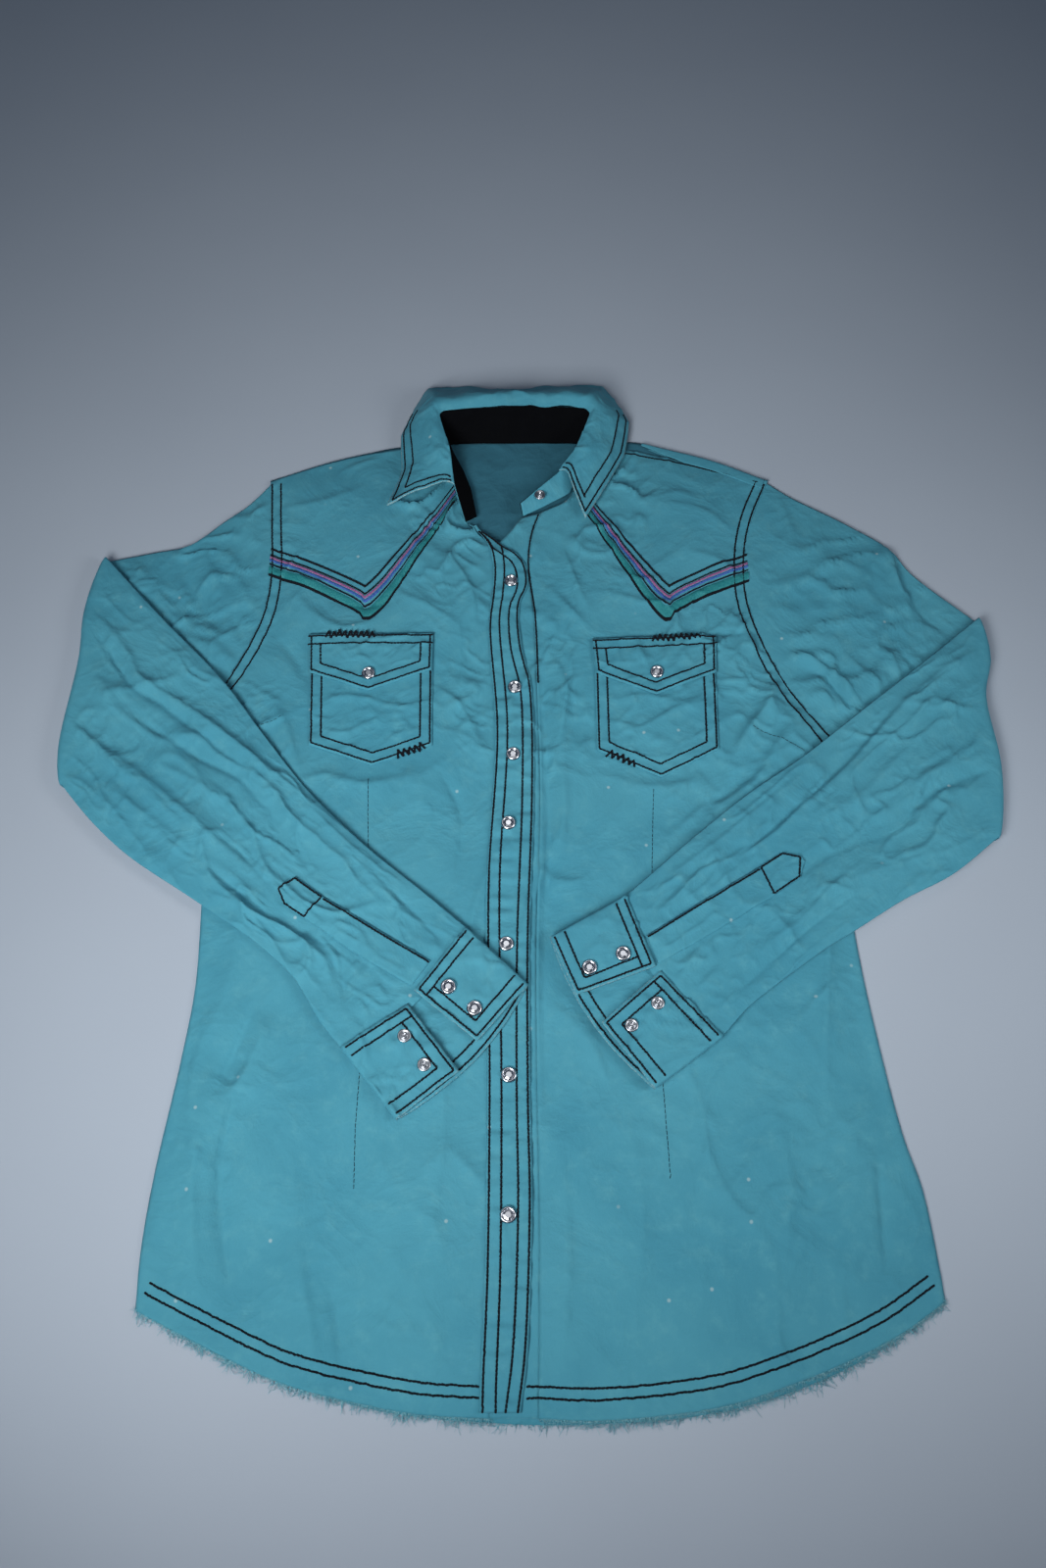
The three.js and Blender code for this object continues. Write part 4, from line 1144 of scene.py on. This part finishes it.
def make_cuff(sleeve):
    points = cuff_grid(sleeve)
    worn = 0.65 * rub_marks(points, ["left", "right", "bottom"], 0.9)
    name = f"cuff_{sleeve.side}"
    piece = wall(name + "_band", points, COTTON, name, thick=CUFF_CLOTH, offset=0, wear=worn)
    declare(piece, points, 235, 60)
    rows = []
    surface = top_of(points, CUFF_CLOTH / 2)
    for corners in (sleeve.cap, sleeve.stud):
        fold_seam, fold_rim, end_rim, end_seam = (np.array(c, float) for c in corners)

        def at(across, along):
            a = fold_seam + (end_seam - fold_seam) * across
            b = fold_rim + (end_rim - fold_rim) * across
            return a + (b - a) * along

        wide = np.linalg.norm(end_seam - fold_seam)
        deep = np.linalg.norm(fold_rim - fold_seam)
        near_fold = 0.03
        outermost = 1 - CUFF_ROWS[0] / wide
        for away, from_seam in zip(CUFF_ROWS, CUFF_SEAM_ROWS):
            end, rim, seam = 1 - away / wide, 1 - away / deep, from_seam / deep
            rows += straight_rows([at(near_fold, rim), at(end, rim), at(end, seam)], surface)
        for from_seam in CUFF_SEAM_ROWS:
            seam = from_seam / deep
            rows.append(draped([at(near_fold, seam), at(outermost, seam)], surface))
    first, middle, last, count = 72, 95, 116, 70  # columns of the layer below both ends, and its points
    deep = np.linalg.norm(points[-1, middle] - points[0, middle])
    for away in CUFF_SEAM_ROWS:
        level = np.full(count, (1 - away / deep) * (len(points) - 1))
        rows.append(on_grid(points, level, np.linspace(first, last, count)) + [0, 0, CUFF_CLOTH / 2])
    return rows, points


def tower_height(x, y):
    return forearm_top(x, y) * 0.85 + 0.15 * SLEEVE_Z + 1.4


def make_tower(sleeve):
    patch = coons(cornered([sleeve.near[0], sleeve.far[0]]), cornered([sleeve.near[-1], sleeve.far[-1]]),
                  cornered(sleeve.near), cornered(sleeve.far))
    points = lifted(patch, 16, 80, tower_height)
    for edge in (points[0], points[:, 0], points[:, -1]):
        edge[:, 2] -= 0.6
    name = f"sleeve_placket_{sleeve.side}"
    piece = wall(name + "_strip", points, COTTON, name, thick=0.9)
    declare(piece, points, 26, 130)
    near, far = np.array(sleeve.near, float), np.array(sleeve.far, float)
    house = np.vstack([near[:3], far[2:0:-1], near[:1]])
    centre = house.mean(0)
    house = centre + (house - centre) * 0.9
    edge = near[2:] + (far[2:] - near[2:]) * 0.08
    return [draped(house, tower_height), draped(edge, tower_height)]


# ---- collar ----
def skins(points, apart, centre):
    """The inner and outer faces of a sheet: its points moved either way across it."""
    ahead, up = np.gradient(points, axis=1), np.gradient(points, axis=0)
    out = np.cross(ahead, up)
    out /= np.maximum(np.linalg.norm(out, axis=-1)[..., None], 1e-9)
    inward = np.array(centre, float) - points[points.shape[0] // 2, points.shape[1] // 2]
    if out[points.shape[0] // 2, points.shape[1] // 2] @ inward > 0:
        out = -out
    return points - out * apart / 2, points + out * apart / 2


def make_collar():
    along = 170
    stand = []
    for share in np.linspace(0, 1, 16):
        line = [np.array(s.base) + (np.array(s.top) - np.array(s.base)) * share for s in COLLAR]
        stand.append(angular(line)(np.linspace(0, 1, along)))
    stand = np.array(stand)
    sunk = np.linspace(1, 0, 16)[:, None] * np.where(stand[0, :, 1] > 300, 1.6, 0.4)
    stand[..., 2] += 0.4 * noise(stand[..., 0], stand[..., 1], 12, 91) - sunk
    inner, outer = skins(stand, 1.1, (-8, 300, 15))
    lining = wall("collar_stand_lining", inner, TWILL, "collar_stand", thick=0.5, offset=0)
    declare(lining, inner, 420, 34)
    face = wall("collar_stand_face", outer, COTTON, thick=0.5, offset=0)
    declare(face, outer, 420, 34)

    stations = [s for s in COLLAR if s.edge]
    lines = []
    for s in stations:
        top, crest, edge = (np.array(p, float) for p in (s.top, s.crest, s.edge))
        top[2] += 0.8
        middle = crest + (edge - crest) * 0.45 + [0, 0, 1.6]
        lines.append(rounded([top, crest, middle, edge], 11))
    lines = np.array(lines)
    leaf = np.stack([angular(lines[:, k])(np.linspace(0, 1, along)) for k in range(lines.shape[1])])
    leaf[..., 1] += 1.3 * noise(leaf[..., 0], leaf[..., 2], 15, 89)
    x, y = leaf[..., 0], leaf[..., 1]
    leaf[..., 2] += 0.9 * noise(x, y, 20, 93) + 1.0 * crumple(x, y, 13, 95) + 0.3 * noise(x, y, 5, 97)
    worn = 0.8 * rub_marks(leaf, ["bottom", "left", "right"], 0.9)
    piece = wall("collar_leaf_cloth", leaf, COTTON, "collar_leaf", thick=1.1, offset=0, wear=worn)
    declare(piece, leaf, 430, 68)
    rows = []
    down = np.array([lengths(leaf[:, j])[-1] for j in range(along)])
    raised, per_mm = [0, 0, 0.75], 0.42  # the leaf's columns to a millimetre
    for away in LEAF_ROWS:
        ends = away * per_mm, along - 1 - away * per_mm
        c = np.linspace(*ends, 260)
        deep = np.interp(c, np.arange(along), down)
        r = (1 - away / deep) * (leaf.shape[0] - 1)
        line = on_grid(leaf, r, c) + raised
        for side in (line[line[:, 0] < -10], line[line[:, 0] > -10]):
            rows.append(side[side[:, 1] < 352])  # behind the neck the stitching is under the fold
        for column in ends:
            r = np.linspace(4, (1 - away / deep[0]) * (leaf.shape[0] - 1), 60)
            rows.append(on_grid(leaf, r, np.full(60, column)) + raised)
    return rows


# ---- trims ----
def turned(name, profile, at, z, material, steps=36, replaces=None, smooth_faces=True):
    """A snap part: a profile of radius and height spun round its own axis."""
    bm = bmesh.new()
    verts = [bm.verts.new((r * MM, 0, h * MM)) for r, h in profile]
    edges = [bm.edges.new(pair) for pair in zip(verts, verts[1:])]
    bmesh.ops.spin(
        bm, geom=verts + edges, cent=(0, 0, 0), axis=(0, 0, 1), angle=math.tau, steps=steps, use_merge=True)
    bmesh.ops.remove_doubles(bm, verts=bm.verts, dist=1e-6)
    bmesh.ops.recalc_face_normals(bm, faces=bm.faces)
    bmesh.ops.translate(bm, verts=bm.verts, vec=row([*at, z]))
    mesh = bpy.data.meshes.new(name)
    bm.to_mesh(mesh)
    bm.free()
    if smooth_faces:
        mesh.shade_smooth()
    piece = shown(mesh, name, material)
    if replaces:
        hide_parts(replaces)
    return piece


CAP_PROFILE = [
    (0, 0), (4.9, 0), (5.2, 0.25), (5.25, 0.6), (5.1, 1.05), (4.8, 1.5), (4.4, 1.85), (4.0, 1.95),
    (3.65, 1.8), (3.4, 1.45), (3.3, 1.0), (0, 1.0),
]
GEM_PROFILE = [(0, 0.8), (3.2, 0.8), (3.1, 1.25), (1.9, 1.6), (0, 1.6)]
GEM_SIDES = 8
STUD_PROFILE = [
    (0, 0), (4.2, 0), (4.4, 0.3), (4.3, 0.8), (3.8, 1.1), (3.2, 0.95), (2.7, 0.6), (2.2, 0.55), (2.0, 0.9),
    (1.95, 1.9), (1.75, 2.3), (1.3, 2.35), (1.0, 2.0), (0.7, 1.4), (0, 1.3),
]


def seat(height, at):
    """How high a snap sits on cloth whose height is a function of the plan."""
    turn = np.linspace(0, math.tau, 12, endpoint=False)
    around = height(at[0] + 4 * np.cos(turn), at[1] + 4 * np.sin(turn))
    return float(np.mean(around) * 0.5 + np.max(around) * 0.5) - 0.1


def cap_and_gem(cap, gem, at, z, replaces):
    """A snap's polished cap, with the faceted middle that is a piece of its own."""
    turned(cap, CAP_PROFILE, at, z, CHROME, replaces=replaces)
    turned(gem, GEM_PROFILE, at, z, CHROME, GEM_SIDES, smooth_faces=False)


def make_snaps(cuffs):
    for i, at in enumerate(PLACKET_SNAPS, 1):
        z = seat(placket_height, at)
        cap_and_gem(f"placket_cap_{i}", f"placket_gem_{i}", at, z, f"placket_snap_{i}")
    for pocket in POCKETS:
        side, at = pocket.side, pocket.snap
        z = seat(pocket_height(2), at)
        cap_and_gem(f"pocket_cap_{side}", f"pocket_gem_{side}", at, z, f"pocket_snap_{side}")
    for sleeve, points in zip(SLEEVES, cuffs):
        surface = top_of(points, CUFF_CLOTH / 2)
        for k, (cap, stud) in enumerate(zip(sleeve.caps, sleeve.studs), 1):
            name = f"cuff_cap_{sleeve.side}_{k}"
            cap_and_gem(name + "_metal", f"cuff_gem_{sleeve.side}_{k}", cap, seat(surface, cap), name)
            name = f"cuff_stud_{sleeve.side}_{k}"
            z = seat(surface, stud)
            turned(name + "_metal", STUD_PROFILE, stud, z, STEEL, replaces=name)
    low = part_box("collar_stud")[0].z / MM
    turned("collar_stud_metal", STUD_PROFILE, (10, 268), low, STEEL, replaces="collar_stud")


def yoke_line(x):
    """The pointed yoke's top line: two hollow curves that meet at a point."""
    ends, tip = ((-197, 226), (-58, 284)), (-122, 190)
    left = x < tip[0]
    away = np.where(left, (tip[0] - x) / (tip[0] - ends[0][0]), (x - tip[0]) / (ends[1][0] - tip[0]))
    rise = np.where(left, ends[0][1] - tip[1], ends[1][1] - tip[1])
    return tip[1] + rise * np.clip(away, 0, 1.05) ** np.where(left, 0.85, 1.1)


Band = namedtuple("Band", "name drop wide high material")
YOKE_BANDS = [
    Band("yoke_top_cord", 0, 1.7, 0.9, "black"), Band("yoke_inner_cord", 5.0, 1.2, 0.7, "black"),
    Band("yoke_mauve_satin", 7.0, 1.9, 0.6, "mauve"), Band("yoke_blue_satin", 9.4, 1.9, 0.6, "blue"),
    Band("yoke_mid_cord", 12.6, 1.2, 0.8, "black"), Band("yoke_teal_satin", 17.2, 6.6, 0.7, "teal"),
    Band("yoke_low_cord", 21.4, 2.2, 1.0, "black"),
]


def make_yoke_bands():
    """A plain pointed western yoke line over each front, in coloured satin stitch and black cord."""
    threads = {"black": BLACK, "mauve": MAUVE, "blue": BLUE, "teal": TEAL}
    across = np.linspace(-1, 1, 7)[:, None]
    for side, start, mirror, middle in (("left", -196, 1, 0), ("right", -183, -1, -15)):
        x = np.linspace(start, -56, 170)
        slope = np.gradient(yoke_line(x), x)
        steep = np.sqrt(1 + np.convolve(np.pad(slope**2, 4, "edge"), np.ones(9) / 9, "valid"))
        for band in YOKE_BANDS:
            narrow = 1 - 0.5 * step(x, -115, -57)
            y = yoke_line(x) - (band.drop - across * band.wide / 2) * steep * narrow
            plan_x = np.broadcast_to(x * mirror + middle, y.shape)
            high = front_height(plan_x, y) + 0.1 + band.high * np.sqrt(1 - across**2)
            wall(f"{band.name}_{side}", np.stack([plan_x, y, high], -1), threads[band.material], thick=0)


def hem_rows():
    rows = []
    for table in (LEFT_HEM, [(-1, -371)] + RIGHT_HEM):
        line = rounded(table)
        for away in HEM_ROWS:
            path = over_front(beside(line, away), 0.05)
            path[:, 1] += 0.3 * noise(path[:, 0], path[:, 1], 2.6, 45)
            rows.append(path)
    return rows


def armhole_rows():
    rows = []
    for table, side in ((LEFT_SIDE[:7], 1), (RIGHT_SIDE[:8], -1)):
        line = smooth(table)(np.linspace(0.02, 0.96, 120))
        for away in ARMHOLE_ROWS:
            rows.append(over_front(beside(line, away * side), 0.05))
    return rows


def shoulder_rows():
    """The yoke's seam on the right shoulder, and the seams beside the placket."""
    seam = smooth([(66, 322), (90, 317), (122, 309), (182, 290)])(np.linspace(0, 1, 80))
    under = smooth([(9, 257), (4, 240), (1, 212), (6, 165), (8, 107)])(np.linspace(0, 1, 90))
    return [over_front(beside(seam, -1.5), 0.1), over_front(under, 0.1)]


DARTS = [
    [(-111, 30), (-110, 0), (-108, -28)], [(-106, -170), (-107, -210), (-106, -246)],
    [(88, 22), (86, -10), (84, -44)], [(85, -178), (87, -240)],
    [(160, 70), (178, 62), (196, 52)], [(-190, 71), (-175, 78)],
]


def fray():
    """Loose threads along the raw hems, in small clumps, each a bent tapering strand."""
    sides, joints = 3, 5
    verts, faces = [], []
    for table, z, count in ((LEFT_HEM, 2.0, 900), (RIGHT_HEM, 2.0, 1100), (BACK_HEM, 0.9, 900)):
        line = rounded(table)
        at = lengths(line)
        clump = noise(np.linspace(0, at[-1], count), np.zeros(count), 6, 99)
        where = np.clip(np.linspace(0, at[-1], count) + random.normal(0, 0.8, count), 0, at[-1])
        start = through(line, at, where)
        out = beside(start, -1) - start
        for k in range(count):
            length = (3.8 + 2.8 * clump[k] + random.exponential(1.6)) * (1.0 if z > 1 else 0.8)
            length = float(np.clip(length, 1.0, 9.0))
            heading = math.atan2(out[k][1], out[k][0]) + random.normal(0, 0.35)
            bend = random.normal(0, 0.3)
            p = np.array([*(start[k] - out[k] * 1.0), z - 0.3])
            base = len(verts)
            for j in range(joints):
                radius = 0.2 * (1 - 0.6 * j / (joints - 1))
                side = np.array([-math.sin(heading), math.cos(heading), 0])
                for s in range(sides):
                    angle = math.tau * s / sides
                    round_it = side * math.cos(angle) + np.array([0, 0, math.sin(angle)])
                    verts.append(p + round_it * radius)
                heading += bend
                p = p + np.array([math.cos(heading), math.sin(heading), 0]) * (length / (joints - 1))
                p[2] = max(0.35, p[2] - 0.12 + random.normal(0, 0.12))
            for j in range(joints - 1):
                for s in range(sides):
                    a, b = base + j * sides + s, base + j * sides + (s + 1) % sides
                    faces.append((a, b, b + sides, a + sides))
            faces.append(tuple(base + s for s in range(sides))[::-1])
            faces.append(tuple(base + (joints - 1) * sides + s for s in range(sides)))
    mesh = bpy.data.meshes.new("frayed_hem")
    mesh.from_pydata(row(np.array(verts)).tolist(), [], faces)
    mesh.shade_smooth()
    return shown(mesh, "frayed_hem", FRAY)


# ---- studio ----
def make_studio():
    scene = bpy.context.scene
    scene.view_settings.view_transform = "Standard"
    scene.view_settings.look = "None"
    bm = bmesh.new()
    bmesh.ops.create_grid(bm, x_segments=2, y_segments=2, size=6)
    bmesh.ops.translate(bm, verts=bm.verts, vec=(0, 0, -0.0003))
    mesh = bpy.data.meshes.new("table")
    bm.to_mesh(mesh)
    bm.free()
    table = bpy.data.objects.new("table", mesh)
    scene.collection.objects.link(table)
    material, shader = bare_material("pale_paper", roughness=0.9)
    place = node(material, "ShaderNodeTexCoord").outputs["Object"]
    cloud = node(material, "ShaderNodeTexNoise", {"Vector": place, "Scale": 6.0, "Detail": 3.0})
    tone = node(material, "ShaderNodeMix", {
        0: cloud.outputs["Fac"], 6: linear("#b1bcc9"), 7: linear("#b8c3cf"),
    }, data_type="RGBA")
    material.node_tree.links.new(tone.outputs[2], shader.inputs["Base Color"])
    grain = node(material, "ShaderNodeTexNoise", {"Vector": place, "Scale": 500.0, "Detail": 3.0})
    bump = node(material, "ShaderNodeBump", {
        "Height": grain.outputs["Fac"], "Strength": 0.2, "Distance": 0.0003,
    })
    material.node_tree.links.new(bump.outputs["Normal"], shader.inputs["Normal"])
    mesh.materials.append(material)

    world = bpy.data.worlds.new("room")
    world.use_nodes = True
    world.node_tree.nodes["Background"].inputs["Color"].default_value = linear("#8fb0d8")
    world.node_tree.nodes["Background"].inputs["Strength"].default_value = 0.1
    scene.world = world
    for name, place, aim, size, power, spread in (
        ("softbox_key", (-0.32, -0.52, 0.66), (0, 0.3, 0), 0.4, 2.85, 110),
        ("softbox_fill", (0.6, -0.2, 0.5), (0, 0, 0), 0.3, 0.8, 120),
        ("softbox_back", (0.0, 0.55, 1.1), (0, 0.15, 0), 0.5, 0.22, 110),
        ("reflector", (-0.05, 0.2, 1.3), (-0.05, 0.2, 0), 0.8, 1.8, 180),  # seen only in reflections
    ):
        light = bpy.data.lights.new(name, "AREA")
        light.size = size
        light.energy = power
        light.spread = math.radians(spread)
        lamp = bpy.data.objects.new(name, light)
        scene.collection.objects.link(lamp)
        lamp.location = place
        lamp.visible_camera = False
        lamp.visible_diffuse = name != "reflector"
        x, y, z = np.array(aim) - np.array(place)
        lamp.rotation_euler = (math.atan2(math.hypot(x, y), -z), 0, math.atan2(y, x) - math.pi / 2)


CAMERA = (-3, -350, 811)  # over the hem, mm in the outlines' own plane
CAMERA_TILT = 25  # degrees from straight down
LENS = 29.25


def make_camera():
    data = bpy.data.cameras.new("camera")
    data.sensor_width = 36
    data.lens = LENS
    camera = bpy.data.objects.new("camera", data)
    bpy.context.scene.collection.objects.link(camera)
    camera.location = row(CAMERA)
    camera.rotation_euler = (math.radians(CAMERA_TILT), 0, 0)
    bpy.context.scene.camera = camera


make_studio()
make_camera()
make_body()
seams = make_placket()
pocket_seams, tacks = make_pockets()
seams += pocket_seams
cuffs = []
for sleeve in SLEEVES:
    make_sleeve(sleeve)
    cuff_seams, cuff = make_cuff(sleeve)
    seams += cuff_seams
    cuffs.append(cuff)
    seams += make_tower(sleeve)
seams += make_collar()
seams += hem_rows() + armhole_rows() + shoulder_rows()
stitches("topstitching", seams, BLACK)
stitches("bar_tacks", tacks, BLACK, long=2.2, gap=1.2, radius=0.75)
stitches("dart_seams", [over_front(path, -0.1) for path in DARTS], BLACK, long=3.0, gap=3.2, radius=0.2)
make_yoke_bands()
make_snaps(cuffs)
fray()
